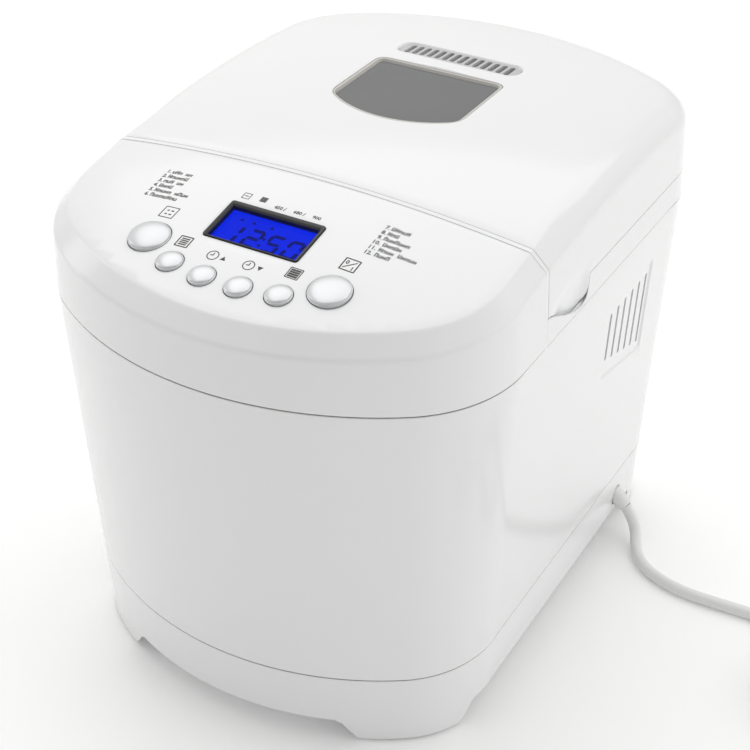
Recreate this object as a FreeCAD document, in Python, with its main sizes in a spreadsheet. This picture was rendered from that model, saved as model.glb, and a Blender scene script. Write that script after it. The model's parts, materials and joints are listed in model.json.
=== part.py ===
"""Countertop bread machine, parametric model in millimetres.

Frame: +Z up, +Y to the back, the control panel faces -Y.  The origin is on the
surface the machine stands on, under the middle of its body.
"""
import FreeCAD, Part
import Sketcher
import math
import os

Vector = FreeCAD.Vector
Rotation = FreeCAD.Rotation
doc = FreeCAD.newDocument("bread_machine")
sheet = doc.addObject("Spreadsheet::Sheet", "Sheet")


# ---------------------------------------------------------------- sizes
class Size:
    """A number together with the sheet expression that gives it."""

    def __init__(self, value, text):
        self.value = float(value)
        self.text = text

    def __add__(self, other):
        return join(self, "+", other)

    def __radd__(self, other):
        return join(other, "+", self)

    def __sub__(self, other):
        return join(self, "-", other)

    def __rsub__(self, other):
        return join(other, "-", self)

    def __mul__(self, other):
        return join(self, "*", other)

    def __rmul__(self, other):
        return join(other, "*", self)

    def __truediv__(self, other):
        return join(self, "/", other)

    def __neg__(self):
        return join(0, "-", self)

    def __float__(self):
        return self.value


def size_of(thing):
    """Plain numbers become sizes with themselves as text."""
    return thing if isinstance(thing, Size) else Size(thing, f"({float(thing)})")


def join(left, sign, right):
    left = size_of(left)
    right = size_of(right)
    results = {
        "+": lambda: left.value + right.value,
        "-": lambda: left.value - right.value,
        "*": lambda: left.value * right.value,
        "/": lambda: left.value / right.value,
    }
    return Size(results[sign](), f"({left.text} {sign} {right.text})")


def sine(degrees):
    return Size(math.sin(math.radians(degrees.value)), f"sin({degrees.text})")


def cosine(degrees):
    return Size(math.cos(math.radians(degrees.value)), f"cos({degrees.text})")


next_row = 1


def size(alias, value):
    """Write one driving dimension into the sheet and hand it back."""
    global next_row
    cell = f"A{next_row}"
    next_row += 1
    sheet.set(cell, str(value))
    sheet.setAlias(cell, alias)
    return Size(value, f"Sheet.{alias}")


# casing
width = size("body_width", 242.0)
depth = size("body_depth", 330.0)
dome_top = size("dome_top", 267.5)
dome_peak_y = size("dome_peak_y", 35.0)
dome_length_radius = size("dome_length_radius", 715.0)
dome_width_radius = size("dome_width_radius", 850.0)
edge_drop = size("edge_drop", 6.5)
edge_run = size("edge_run", 10.0)
draft = size("wall_draft", 0.044)
front_radius = size("front_radius", 166.0)
front_corner = size("front_corner", 64.0)
rear_radius = size("rear_radius", 202.0)
rear_corner = size("rear_corner", 51.0)
wall = size("wall", 2.6)
seam_height = size("seam_height", 206.0)
skirt_height = size("skirt_height", 43.5)
lid_seam = size("lid_seam", 221.0)
lid_front = size("lid_front", -58.0)
seam_gap = size("seam_gap", 0.6)
lid_gap = size("lid_gap", 1.2)
tongue_depth = size("tongue_depth", 6.0)

# foot and skirt
arch_height = size("arch_height", 13.5)
arch_front_half = size("arch_front_half", 62.0)
arch_side_front = size("arch_side_front", -98.0)
arch_side_rear = size("arch_side_rear", 88.0)
arch_slope = size("arch_slope", 12.0)
skirt_clearance = size("skirt_clearance", 1.2)
floor_plate = size("floor_plate", 2.5)
foot_radius = size("foot_radius", 8.0)
foot_height = size("foot_height", 3.5)

# finger tab of the lid, on both sides
tab_bottom = size("tab_bottom", 210.0)
tab_length = size("tab_length", 43.0)
tab_round = size("tab_round", 12.0)

# side vents
vent_front = size("side_vent_front", 25.0)
vent_pitch = size("side_vent_pitch", 9.0)
vent_slot = size("side_vent_slot", 2.6)
vent_top = size("side_vent_top", 177.5)
vent_low_front = size("side_vent_low_front", 149.0)
vent_low_rear = size("side_vent_low_rear", 134.5)
VENT_SLOTS = 6

# control panel
panel_tilt = size("panel_tilt", 11.1)
display_inset = size("display_inset", 62.4)
display_y = display_inset - depth / 2
display_width = size("display_width", 50.0)
display_depth = size("display_depth", 26.0)
big_button = size("big_button_radius", 10.0)
small_button = size("small_button_radius", 6.4)
button_fit = size("button_fit", 0.35)
button_stand = size("button_stand", 2.2)
button_travel = size("button_travel", 1.2)

# oven and bread pan
oven_y = size("oven_y", 40.0)
oven_width = size("oven_width", 190.0)
oven_length = size("oven_length", 168.0)
oven_corner = size("oven_corner", 27.0)
oven_floor = size("oven_floor", 66.0)
deck_height = size("deck_height", 212.0)
sheet_metal = size("sheet_metal", 1.0)
pan_width = size("pan_width", 150.0)
pan_length = size("pan_length", 130.0)
pan_rim = size("pan_rim", 172.0)
pan_floor = size("pan_floor", 88.0)
pan_taper = size("pan_taper", 7.0)
pan_wall = size("pan_wall", 1.8)
pan_corner = size("pan_corner", 24.0)

# drive
shaft_radius = size("shaft_radius", 4.0)
shaft_fit = size("shaft_fit", 0.05)
pulley_radius = size("large_pulley_radius", 45.0)
motor_pulley_radius = size("motor_pulley_radius", 9.0)
pulley_low = size("pulley_low", 28.0)
pulley_thick = size("pulley_thick", 12.0)
belt_thick = size("belt_thick", 2.5)
motor_inset = size("motor_inset", 67.0)
motor_y = motor_inset - depth / 2
motor_radius = size("motor_radius", 33.0)
motor_height = size("motor_height", 66.0)
chassis_height = size("chassis_height", 50.0)
chassis_thick = size("chassis_thick", 2.0)

# lid
hinge_inset = size("hinge_inset", 12.0)
hinge_y = depth / 2 - hinge_inset
hinge_z = size("hinge_z", 228.5)
hinge_x = size("hinge_x", 28.0)
pin_radius = size("pin_radius", 2.5)
notch_half = size("notch_half", 68.0)
notch_top = size("notch_top", 241.0)
liner_top = size("liner_top", 239.0)
window_width = size("window_width", 73.5)
window_back = size("window_back", 64.5)
window_front = size("window_front", 15.0)
window_bow = size("window_bow", 15.0)
grille_width = size("vent_grille_width", 69.0)
grille_front = size("vent_grille_front", 77.0)
grille_depth = size("vent_grille_depth", 14.0)
glass = size("glass_thickness", 3.0)
pane_top = size("outer_pane_top", 265.0)

# mains lead
cord_radius = size("cord_radius", 3.25)
coil_radius = size("coil_radius", 35.75)
doc.recompute()

nodes = []


# ---------------------------------------------------------------- builders
def finish(thing, label):
    """Keep an object as a named sub-part of the machine."""
    thing.Label = label
    nodes.append(thing)
    return thing


def bind(thing, **expressions):
    for name, length in expressions.items():
        length = size_of(length)
        setattr(thing, name, length.value)
        thing.setExpression(name, length.text)


def place(thing, x=0, y=0, z=0, turn=None):
    """Put an object at bound coordinates; turn is a Rotation."""
    corner = [size_of(value) for value in (x, y, z)]
    thing.Placement = FreeCAD.Placement(Vector(*[c.value for c in corner]), turn or Rotation())
    for axis, coordinate in zip("xyz", corner):
        thing.setExpression(f"Placement.Base.{axis}", coordinate.text)
    return thing


def box(x0, x1, y0, y1, z0, z1):
    """Block between two bound corners."""
    solid = doc.addObject("Part::Box", "Block")
    bind(solid, Length=size_of(x1) - x0, Width=size_of(y1) - y0, Height=size_of(z1) - z0)
    return place(solid, x0, y0, z0)


TURNS = {"z": Rotation(), "x": Rotation(Vector(0, 1, 0), 90), "y": Rotation(Vector(1, 0, 0), -90)}


def rod(x, y, z, radius, length, along="z"):
    """Cylinder that starts at a bound point and runs along +X, +Y or +Z."""
    solid = doc.addObject("Part::Cylinder", "Rod")
    bind(solid, Radius=radius, Height=length)
    return place(solid, x, y, z, TURNS[along])


def cut(base, *tools):
    """Take tools away from a base."""
    for tool in tools:
        piece = doc.addObject("Part::Cut", "Cut")
        piece.Base = base
        piece.Tool = tool
        base = piece
    return base


def fuse(*pieces):
    """Join touching pieces into one solid."""
    whole = doc.addObject("Part::MultiFuse", "Fusion")
    whole.Shapes = list(pieces)
    whole.Refine = True
    return whole


def group(*pieces):
    """Keep separate pieces of one kind together."""
    whole = doc.addObject("Part::Compound", "Group")
    whole.Links = list(pieces)
    return whole


def origin_plane(body, role):
    return next(plane for plane in body.Origin.OriginFeatures if plane.Role == role)


def polygon_sketch(body, role, corners):
    """Closed straight-sided sketch; every corner is tied to bound coordinates."""
    sketch = body.newObject("Sketcher::SketchObject", "Profile")
    sketch.AttachmentSupport = [(origin_plane(body, role), "")]
    sketch.MapMode = "FlatFace"
    corners = [(size_of(u), size_of(w)) for u, w in corners]
    count = len(corners)
    for index, (u, w) in enumerate(corners):
        to_u, to_w = corners[(index + 1) % count]
        start = Vector(u.value, w.value, 0)
        end = Vector(to_u.value, to_w.value, 0)
        sketch.addGeometry(Part.LineSegment(start, end))
    for index in range(count):
        sketch.addConstraint(Sketcher.Constraint("Coincident", index, 2, (index + 1) % count, 1))
    for index, corner in enumerate(corners):
        for kind, length in zip(("DistanceX", "DistanceY"), corner):
            tie = sketch.addConstraint(Sketcher.Constraint(kind, -1, 1, index, 1, length.value))
            if "Sheet" in length.text:
                sketch.setExpression(f"Constraints[{tie}]", length.text)
    return sketch


def turned(corners, x=0, y=0, z=0, turn=None):
    """Body turned about its own vertical axis from (radius, height) corners."""
    body = doc.addObject("PartDesign::Body", "Body")
    sketch = polygon_sketch(body, "XZ_Plane", corners)
    revolution = body.newObject("PartDesign::Revolution", "Turn")
    revolution.Profile = sketch
    revolution.ReferenceAxis = (sketch, ["V_Axis"])
    revolution.Angle = 360
    return place(body, x, y, z, turn)


def plate(corners, thickness, x=0, y=0, z=0, turn=None):
    """Body padded up from a flat (x, y) polygon."""
    body = doc.addObject("PartDesign::Body", "Body")
    sketch = polygon_sketch(body, "XY_Plane", corners)
    pad = body.newObject("PartDesign::Pad", "Pad")
    pad.Profile = sketch
    bind(pad, Length=thickness)
    return place(body, x, y, z, turn)


def shaped(shape):
    """Feature for a form that the parametric tools don't make."""
    feature = doc.addObject("Part::Feature", "Form")
    feature.Shape = shape
    return feature


def holed(body, *holes):
    """Pocket round holes (x, y, radius) through a padded body."""
    for x, y, radius in holes:
        sketch = body.newObject("Sketcher::SketchObject", "HoleSketch")
        sketch.AttachmentSupport = [(origin_plane(body, "XY_Plane"), "")]
        sketch.MapMode = "FlatFace"
        centre = [size_of(x), size_of(y)]
        radius = size_of(radius)
        middle = Vector(centre[0].value, centre[1].value, 0)
        sketch.addGeometry(Part.Circle(middle, Vector(0, 0, 1), radius.value))
        ties = (("DistanceX", centre[0]), ("DistanceY", centre[1]))
        for kind, length in ties:
            tie = sketch.addConstraint(Sketcher.Constraint(kind, -1, 1, 0, 3, length.value))
            if "Sheet" in length.text:
                sketch.setExpression(f"Constraints[{tie}]", length.text)
        tie = sketch.addConstraint(Sketcher.Constraint("Radius", 0, radius.value))
        if "Sheet" in radius.text:
            sketch.setExpression(f"Constraints[{tie}]", radius.text)
        pocket = body.newObject("PartDesign::Pocket", "Hole")
        pocket.Profile = sketch
        pocket.Type = "ThroughAll"
        pocket.Reversed = True
    return body


# ---------------------------------------------------------------- casing forms
def end_arcs(sign, radius, corner, half, inset):
    """Right-hand points of one end of the plan: tip, where the end arc meets the
    corner arc, the corner arc's middle, and where it meets the straight side."""
    tip = sign * (depth.value / 2 - inset)
    arc_centre = tip - sign * radius
    corner_x = half - corner
    reach = radius - corner
    corner_y = arc_centre + sign * math.sqrt(reach ** 2 - corner_x ** 2)
    joint = (corner_x / reach * radius, arc_centre + (corner_y - arc_centre) / reach * radius)
    lean = Vector((joint[0] + half) / 2 - corner_x, (joint[1] - corner_y) / 2, 0)
    lean.normalize()
    middle = (corner_x + lean.x * corner, corner_y + lean.y * corner)
    return (0, tip), joint, middle, (half, corner_y)


def outline(height, inset):
    """Plan of the casing at a height: a bowed front, straight sides and a
    flatter back, as eight tangent arcs and lines, moved in by inset."""
    half = width.value / 2 - inset
    front = end_arcs(-1, front_radius.value - inset, front_corner.value - inset, half, inset)
    rear = end_arcs(1, rear_radius.value - inset, rear_corner.value - inset, half, inset)

    def edge(*stops):
        points = [Vector(side * x, y, height) for side, (x, y) in stops]
        curve = Part.Arc(*points) if len(points) == 3 else Part.LineSegment(*points)
        return curve.toShape()

    tip, joint, middle, flank = front
    rear_tip, rear_joint, rear_middle, rear_flank = rear
    return Part.Wire([
        edge((-1, joint), (1, tip), (1, joint)),
        edge((1, joint), (1, middle), (1, flank)),
        edge((1, flank), (1, rear_flank)),
        edge((1, rear_flank), (1, rear_middle), (1, rear_joint)),
        edge((1, rear_joint), (1, rear_tip), (-1, rear_joint)),
        edge((-1, rear_joint), (-1, rear_middle), (-1, rear_flank)),
        edge((-1, rear_flank), (-1, flank)),
        edge((-1, flank), (-1, middle), (-1, joint)),
    ])


def inset_at(height):
    """The walls lean in from the seam both ways."""
    return abs(height - seam_height.value) * draft.value


def column(low, high, inset):
    """Casing wall form between two heights on one side of the seam."""
    bottom = outline(low, inset_at(low) + inset)
    top = outline(high, inset_at(high) + inset)
    return Part.makeLoft([bottom, top], True, True)


def dome(lower):
    """Barrel that limits the top: an arc across, turned about an axis along X."""
    top = dome_top.value - lower
    axis_height = dome_top.value - dome_length_radius.value
    across = dome_width_radius.value - lower
    reach = width.value
    edge = top - across + math.sqrt(across ** 2 - reach ** 2)

    def below(x, height):
        return Vector(x, dome_peak_y.value, 2 * axis_height - height)

    corners = [below(-reach, edge), below(0, top), below(reach, edge)]
    arc = Part.Arc(*corners).toShape()
    axis = [Vector(x, dome_peak_y.value, axis_height) for x in (reach, -reach)]
    rest = Part.makePolygon([corners[2], *axis, corners[0]])
    profile = Part.Face(Part.Wire([arc, *rest.Edges]))
    return profile.revolve(Vector(0, dome_peak_y.value, axis_height), Vector(1, 0, 0), 360)


def capped(low, inset):
    """Casing above a height, closed by the dome, with its edge sloped off."""
    form = column(low, dome_top.value + 20, inset).common(dome(inset))
    crown = max(form.Faces, key=lambda face: face.CenterOfMass.z)
    return form.makeChamfer(edge_drop.value, edge_run.value, crown.Edges)


def dome_height(x, y):
    """Height of the dome's outside over a point."""
    axis_height = dome_top.value - dome_length_radius.value
    across = dome_width_radius.value
    reach = dome_length_radius.value - across + math.sqrt(across ** 2 - x ** 2)
    return axis_height + math.sqrt(reach ** 2 - (y - dome_peak_y.value) ** 2)


def block(x0, x1, y0, y1, z0, z1):
    low = Vector(float(x0), float(y0), float(z0))
    return Part.makeBox(float(x1) - low.x, float(y1) - low.y, float(z1) - low.z, low)


def prism(points, direction):
    """Solid swept straight from a closed polygon of 3-D points."""
    return Part.Face(Part.makePolygon([*points, points[0]])).extrude(direction)


def rounded(half_x, half_y, corner, low, height, centre_y):
    """Upright block with rounded vertical edges."""
    form = block(-half_x, half_x, centre_y - half_y, centre_y + half_y, low, low + height)
    upright = [e for e in form.Edges if abs(e.Vertexes[0].X - e.Vertexes[-1].X) < 1e-6
               and abs(e.Vertexes[0].Y - e.Vertexes[-1].Y) < 1e-6]
    return form.makeFillet(corner, upright)


# ---------------------------------------------------------------- casing
HALF_GAP = seam_gap.value / 2
PANEL_EDGE = lid_front.value - HALF_GAP * 2
FAR = 400.0


def make_base_skirt():
    """Tapered skirt with arches between four corner feet, and the floor plate."""
    low = skirt_clearance.value
    top = skirt_height.value - HALF_GAP
    ring = column(low, top, 0).cut(column(low - 1, top + 1, wall.value))
    plate_low = arch_height.value + 1.5
    floor = column(plate_low, plate_low + floor_plate.value, wall.value / 2)
    skirt = ring.fuse(floor)
    feet = []
    for x in (-1, 1):
        for y in (-1, 1):
            spot = foot_spot(x, y)
            root = Vector(spot.x, spot.y, low)
            feet.append(Part.makeCylinder(foot_radius.value + FOOT_WALL, plate_low + 1 - low, root))
    inside = column(low, plate_low + 2, 0.5)
    skirt = skirt.multiFuse([foot.common(inside) for foot in feet])
    half = arch_front_half.value
    for sign in (-1, 1):
        points = [Vector(x, sign * ARCH_START, z) for x, z in arch_profile(-half, half)]
        skirt = skirt.cut(prism(points, Vector(0, sign * FAR, 0)))
        profile = arch_profile(arch_side_front.value, arch_side_rear.value)
        points = [Vector(sign * ARCH_START, y, z) for y, z in profile]
        skirt = skirt.cut(prism(points, Vector(sign * FAR, 0, 0)))
    for x in (-1, 1):
        for y in (-1, 1):
            seat = Part.makeCylinder(foot_radius.value, foot_height.value, foot_spot(x, y))
            skirt = skirt.cut(seat)
    for x, y in POSTS:
        skirt = skirt.cut(Part.makeCylinder(SCREW_RADIUS, 30, Vector(x, y.value, 0)))
    skirt = skirt.cut(sleeve_form(0.15))
    finish(shaped(skirt.removeSplitter()), "base_skirt")


FOOT_SIDE = 37.0
FOOT_FRONT = 57.0
FOOT_REAR = 53.0
FOOT_WALL = 6.0
ARCH_START = 80.0


def arch_profile(start, end):
    """Opening under one side of the skirt, as (along, height), with sloped ends."""
    top = arch_height.value
    run = arch_slope.value
    return [(start, top), (end, top), (end + run, -1), (start - run, -1)]


def foot_spot(x, y):
    """Centre of a corner foot."""
    inset = FOOT_REAR if y > 0 else FOOT_FRONT
    return Vector(x * (width.value / 2 - FOOT_SIDE), y * (depth.value / 2 - inset), 0)


def sleeve_form(extra):
    """Tapered sleeve that leads the cord out, sloping down and out of the wall."""
    solid = Part.makeCone(SLEEVE_ROOT + extra, SLEEVE_TIP + extra, SLEEVE_LENGTH, sleeve_start(), SLEEVE_WAY)
    back = sleeve_start() - SLEEVE_WAY * extra
    collar = Part.makeCylinder(SLEEVE_ROOT + 2 + extra, 3 + extra * 2, back, SLEEVE_WAY)
    return solid.fuse(collar)


SLEEVE_WAY = Vector(0.80, -0.08, -0.59).normalize()
SLEEVE_LENGTH = 26.0
SLEEVE_ROOT = 6.0
SLEEVE_TIP = 4.4
SLEEVE_OUTSIDE = 9.0


def cord_exit():
    """Where the cord leaves its sleeve, outside the right wall."""
    hole = Vector(width.value / 2 - inset_at(25) - 0.5, 76.0, 25.0)
    return hole + SLEEVE_WAY * SLEEVE_OUTSIDE


def sleeve_start():
    return cord_exit() - SLEEVE_WAY * SLEEVE_LENGTH


def make_body_shell():
    """Tapered wrap between the two seams, with a vent panel in each side."""
    low = skirt_height.value + HALF_GAP
    top = seam_height.value - HALF_GAP
    shell = column(low, top, 0).cut(column(low - 1, top + 1, wall.value))
    shell = shell.fuse(tongue(low, -1))
    front = vent_front.value - 5
    rear = vent_front.value + vent_pitch.value * (VENT_SLOTS - 1) + 6
    fall = (vent_low_rear.value - vent_low_front.value) / (rear - front - 11)
    recess = [(front, vent_top.value + 6), (rear, vent_top.value + 6)]
    recess += [(rear, vent_low_rear.value - 9), (front, vent_low_front.value - 11)]
    skin = column(100, 200, -1).cut(column(99, 201, 0.8))
    for side in (-1, 1):
        points = [Vector(side * 90, y, z) for y, z in recess]
        shell = shell.cut(skin.common(prism(points, Vector(side * 90, 0, 0))))
        for index in range(VENT_SLOTS):
            y = vent_front.value + vent_pitch.value * index
            z = vent_low_front.value + fall * vent_pitch.value * index
            slot = block(90, 150, y - vent_slot.value / 2, y + vent_slot.value / 2, z, vent_top.value)
            if side < 0:
                slot = slot.mirror(Vector(0, 0, 0), Vector(1, 0, 0))
            shell = shell.cut(slot)
    finish(shaped(shell), "body_shell")


def tongue(height, way):
    """Inner lip that locates one casing ring in the next; way is up or down."""
    root = height - way * 2
    far = height + way * tongue_depth.value
    outside = wall.value + 0.15
    lip = column(min(root, far), max(root, far), outside)
    joint = column(min(root, height), max(root, height), wall.value - 0.4)
    return lip.fuse(joint).cut(column(min(root, far) - 1, max(root, far) + 1, outside + 1.8))


def tab_profile(grow):
    """Side view of the finger tab below the lid seam, as a (y, z) polygon and arc."""
    front = lid_front.value + lid_gap.value * 1.5 - grow
    rear = front + tab_length.value + 2 * grow
    low = tab_bottom.value - grow
    radius = tab_round.value
    shape = block(-FAR, FAR, front, rear, low, lid_seam.value + 6)
    corner = [
        edge for edge in shape.Edges
        if abs(edge.CenterOfMass.y - rear) < 0.01 and abs(edge.CenterOfMass.z - low) < 0.01
    ]
    return shape.makeFillet(min(radius, tab_length.value / 3), corner)


def make_casing_top():
    """Upper housing with the control deck, and the lid's shell, from one form."""
    low = seam_height.value + HALF_GAP
    outer = capped(low, 0)
    inner = capped(low - 1, wall.value)
    shell = outer.cut(inner)
    front = block(-FAR, FAR, -FAR, PANEL_EDGE, low, FAR)
    collar = block(-FAR, FAR, PANEL_EDGE - 1, FAR, low, lid_seam.value - HALF_GAP)
    bulkhead = outer.common(block(-FAR, FAR, PANEL_EDGE - wall.value, PANEL_EDGE, low, FAR))
    backing = inner.cut(capped(low - 1, wall.value + 3.5))
    backing_rear = lid_front.value + tab_length.value + 8
    side = block(-FAR, FAR, PANEL_EDGE - 1, backing_rear, low, lid_seam.value - HALF_GAP)
    sides = side.cut(block(-90, 90, -FAR, FAR, 0, FAR))
    housing = shell.common(front).fuse(shell.common(collar))
    housing = housing.cut(tab_profile(lid_gap.value * 0.6).cut(block(-90, 90, -FAR, FAR, 0, FAR)))
    housing = housing.multiFuse([bulkhead, backing.common(sides), tongue(low, -1)])
    lid_space = block(-FAR, FAR, lid_front.value, FAR, lid_seam.value, FAR)
    wall_rear = lid_front.value + wall.value
    front_wall = outer.common(block(-FAR, FAR, lid_front.value, wall_rear, lid_seam.value, FAR))
    lid = shell.common(lid_space).fuse(front_wall)
    tabs = shell.common(tab_profile(0).cut(block(-90, 90, -FAR, FAR, 0, FAR)))
    lid = lid.fuse(tabs)
    notch = block(-notch_half.value, notch_half.value, hinge_y.value - 8, FAR, low, notch_top.value)
    lid = lid.cut(notch)
    return housing.removeSplitter(), lid.removeSplitter()


def on_panel(x, up_slope, depth_below):
    """Point under the control deck: across, up the slope, and below the surface."""
    tilt = math.radians(panel_tilt.value)
    base = Vector(0, display_y.value, dome_height(0, display_y.value))
    slope = Vector(0, math.cos(tilt), math.sin(tilt))
    normal = Vector(0, -math.sin(tilt), math.cos(tilt))
    return base + Vector(x, 0, 0) + slope * up_slope - normal * depth_below


PANEL_TURN = Rotation(Vector(1, 0, 0), panel_tilt.value)
BUTTONS = (
    ("button_menu", -47.4, 40.6, big_button),
    ("button_size", -28.5, 29.6, small_button),
    ("button_time_up", -9.5, 26.9, small_button),
    ("button_time_down", 9.5, 26.9, small_button),
    ("button_crust", 28.5, 29.6, small_button),
    ("button_start_stop", 47.4, 40.6, big_button),
)


def button_seat(x, inset):
    """Where a button's axis comes out of the deck, inset from its front."""
    y = inset - depth.value / 2
    return Vector(x, y, dome_height(x, y))


def tilted(shape, point):
    shape.Placement = FreeCAD.Placement(point, PANEL_TURN)
    return shape


def panel_openings():
    """Display opening and button holes, square to the control deck."""
    half_x = display_width.value / 2 + 0.2
    half_y = display_depth.value / 2 + 0.2
    tools = [tilted(block(-half_x, half_x, -half_y, half_y, -12, 12), on_panel(0, 0, 0))]
    for _, x, inset, radius in BUTTONS:
        hole = Part.makeCylinder(radius.value + button_fit.value, 24, Vector(0, 0, -12))
        tools.append(tilted(hole, button_seat(x, inset)))
    return tools


def window_form(low, high, grow):
    """Window plan: a straight back and sides with a bowed front, grown by grow."""
    half = window_width.value / 2 + grow
    back = window_back.value + grow
    side = window_front.value
    tip = window_front.value - window_bow.value - grow
    corners = [(half, side), (half, back), (-half, back), (-half, side)]
    points = [Vector(x, y, low) for x, y in corners]
    bow = Part.Arc(points[3], Vector(0, tip, low), points[0]).toShape()
    wire = Part.Wire([bow, *Part.makePolygon(points).Edges])
    form = Part.Face(wire).extrude(Vector(0, 0, high - low))
    upright = [edge for edge in form.Edges if abs(edge.Length - (high - low)) < 1e-6]
    return form.makeFillet(max(5.0 + grow, 1.5), upright)


def grille_form(low, high, grow):
    half = grille_width.value / 2 + grow
    front = grille_front.value - grow
    rear = grille_front.value + grille_depth.value + grow
    form = block(-half, half, front, rear, low, high)
    upright = [edge for edge in form.Edges if abs(edge.Length - (high - low)) < 1e-6]
    return form.makeFillet(5.5 + grow, upright)


# ---------------------------------------------------------------- base and drive
FLOOR_TOP = arch_height + 1.5 + floor_plate


def make_feet():
    pads = []
    for x in (-1, 1):
        for y in (-1, 1):
            spot = foot_spot(x, y)
            r, h = foot_radius, foot_height
            corners = [(0, 0), (r - 0.8, 0), (r, 0.8), (r, h), (0, h)]
            pads.append(turned(corners, spot.x, spot.y))
    finish(group(*pads), "rubber_feet")


CHASSIS_HALF = 60.0
chassis_front = motor_y - 38
chassis_rear = oven_y + 70
CHASSIS_PLAN = (
    (-CHASSIS_HALF, chassis_front), (CHASSIS_HALF, chassis_front),
    (CHASSIS_HALF + 18, chassis_front + 76), (CHASSIS_HALF + 18, chassis_rear - 50),
    (CHASSIS_HALF, chassis_rear), (-CHASSIS_HALF, chassis_rear),
    (-CHASSIS_HALF - 18, chassis_rear - 50), (-CHASSIS_HALF - 18, chassis_front + 76),
)
POST_X = CHASSIS_HALF - 10
POSTS = tuple((x, y) for y in (chassis_front + 8, chassis_rear - 10) for x in (-POST_X, POST_X))
POST_RADIUS = 5.0
SCREW_RADIUS = 2.0
BUSH_RADIUS = 7.0


def make_chassis():
    """Steel plate on posts that carries the motor, the shaft and the oven."""
    holes = [(0, oven_y, BUSH_RADIUS), (0, motor_y, 8)]
    holes += [(x, y, SCREW_RADIUS) for x, y in POSTS]
    steel = holed(plate(CHASSIS_PLAN, chassis_thick, 0, 0, chassis_height), *holes)
    finish(steel, "chassis")
    posts = []
    screws = []
    for x, y in POSTS:
        hollow = [(SCREW_RADIUS, 0), (POST_RADIUS, 0), (POST_RADIUS, chassis_height - FLOOR_TOP)]
        posts.append(turned([*hollow, (SCREW_RADIUS, chassis_height - FLOOR_TOP)], x, y, FLOOR_TOP))
        low = FLOOR_TOP - floor_plate
        corners = [(0, -2), (4, -2), (4, 0), (SCREW_RADIUS, 0), (SCREW_RADIUS, 20), (0, 20)]
        screws.append(turned(corners, x, y, low))
    finish(group(*posts), "chassis_posts")
    finish(group(*screws), "base_screws")
    low = chassis_height + chassis_thick
    spots = [(x, y) for x in (-52, 52) for y in (-52, 52)]
    supports = [rod(x, oven_y + y, low, 4, oven_floor - low) for x, y in spots]
    finish(group(*supports), "oven_supports")


def make_motor():
    """Upright motor that hangs its pulley under the chassis."""
    base = chassis_height + chassis_thick
    bore = 3.0 + shaft_fit
    corners = [(bore, 0), (motor_radius, 0), (motor_radius, motor_height), (11, motor_height)]
    corners += [(11, motor_height + 5), (bore, motor_height + 5)]
    finish(turned(corners, 0, motor_y, base), "motor")
    finish(rod(0, motor_y, pulley_low - 3, 3, base + motor_height - pulley_low), "motor_shaft")
    r, t = motor_pulley_radius, pulley_thick
    corners = [(3, 0), (r + 2, 0), (r + 2, 1.2), (r, 1.2)]
    corners += [(r, t - 1.2), (r + 2, t - 1.2), (r + 2, t), (3, t)]
    finish(turned(corners, 0, motor_y, pulley_low), "motor_pulley")


def make_drive():
    """Shaft, pulley and dog that turn the paddle, and the bush they run in."""
    r, t = pulley_radius, pulley_thick
    corners = [(shaft_radius, 0), (11, 0), (11, 4), (r - 6, 4)]
    corners += [(r - 6, 0), (r + 1.5, 0), (r + 1.5, 1.2), (r, 1.2)]
    corners += [(r, t - 1.2), (r + 1.5, t - 1.2), (r + 1.5, t), (r - 6, t), (r - 6, 8), (11, 8), (11, t)]
    finish(turned([*corners, (shaft_radius, t)], 0, oven_y, pulley_low), "large_pulley")
    top = oven_floor + sheet_metal + 7
    finish(rod(0, oven_y, pulley_low - 4, shaft_radius, top - pulley_low + 4), "drive_shaft")
    bore = shaft_radius + shaft_fit
    corners = [(bore, -6), (BUSH_RADIUS, -6), (BUSH_RADIUS, chassis_thick), (12, chassis_thick)]
    corners += [(12, chassis_thick + 2), (BUSH_RADIUS, chassis_thick + 2), (BUSH_RADIUS, 14), (bore, 14)]
    finish(turned(corners, 0, oven_y, chassis_height), "shaft_bearing")
    hub = rod(0, oven_y, top - 5.5, 8.5, 5.5)
    hub = cut(hub, rod(0, oven_y, top - 6, shaft_radius, 7))
    lugs = [box(x - 2, x + 2, oven_y - 2.5, oven_y + 2.5, top, top + 6) for x in (-5.5, 5.5)]
    cap = rod(0, oven_y, top, 8.5, 1.2)
    finish(fuse(hub, cap, *lugs), "drive_coupler")


def make_belt():
    """Flat belt: a loop of two arcs and two straight runs round the pulleys."""
    span = oven_y.value - motor_y.value

    def loop(extra):
        big = pulley_radius.value + extra
        small = motor_pulley_radius.value + extra
        lean = math.asin((big - small) / span)
        away = Vector(math.cos(lean), -math.sin(lean), 0)
        height = pulley_low.value + 1.6
        centre_big = Vector(0, oven_y.value, height)
        centre_small = Vector(0, motor_y.value, height)
        across = Vector(-away.x, away.y, 0)
        a, b = centre_big + away * big, centre_big + across * big
        c, d = centre_small + across * small, centre_small + away * small
        edges = [
            Part.Arc(a, centre_big + Vector(0, big, 0), b).toShape(),
            Part.LineSegment(b, c).toShape(),
            Part.Arc(c, centre_small - Vector(0, small, 0), d).toShape(),
            Part.LineSegment(d, a).toShape(),
        ]
        return Part.Face(Part.Wire(edges)).extrude(Vector(0, 0, pulley_thick.value - 3.2))

    finish(shaped(loop(belt_thick.value).cut(loop(0.3))), "drive_belt")


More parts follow.
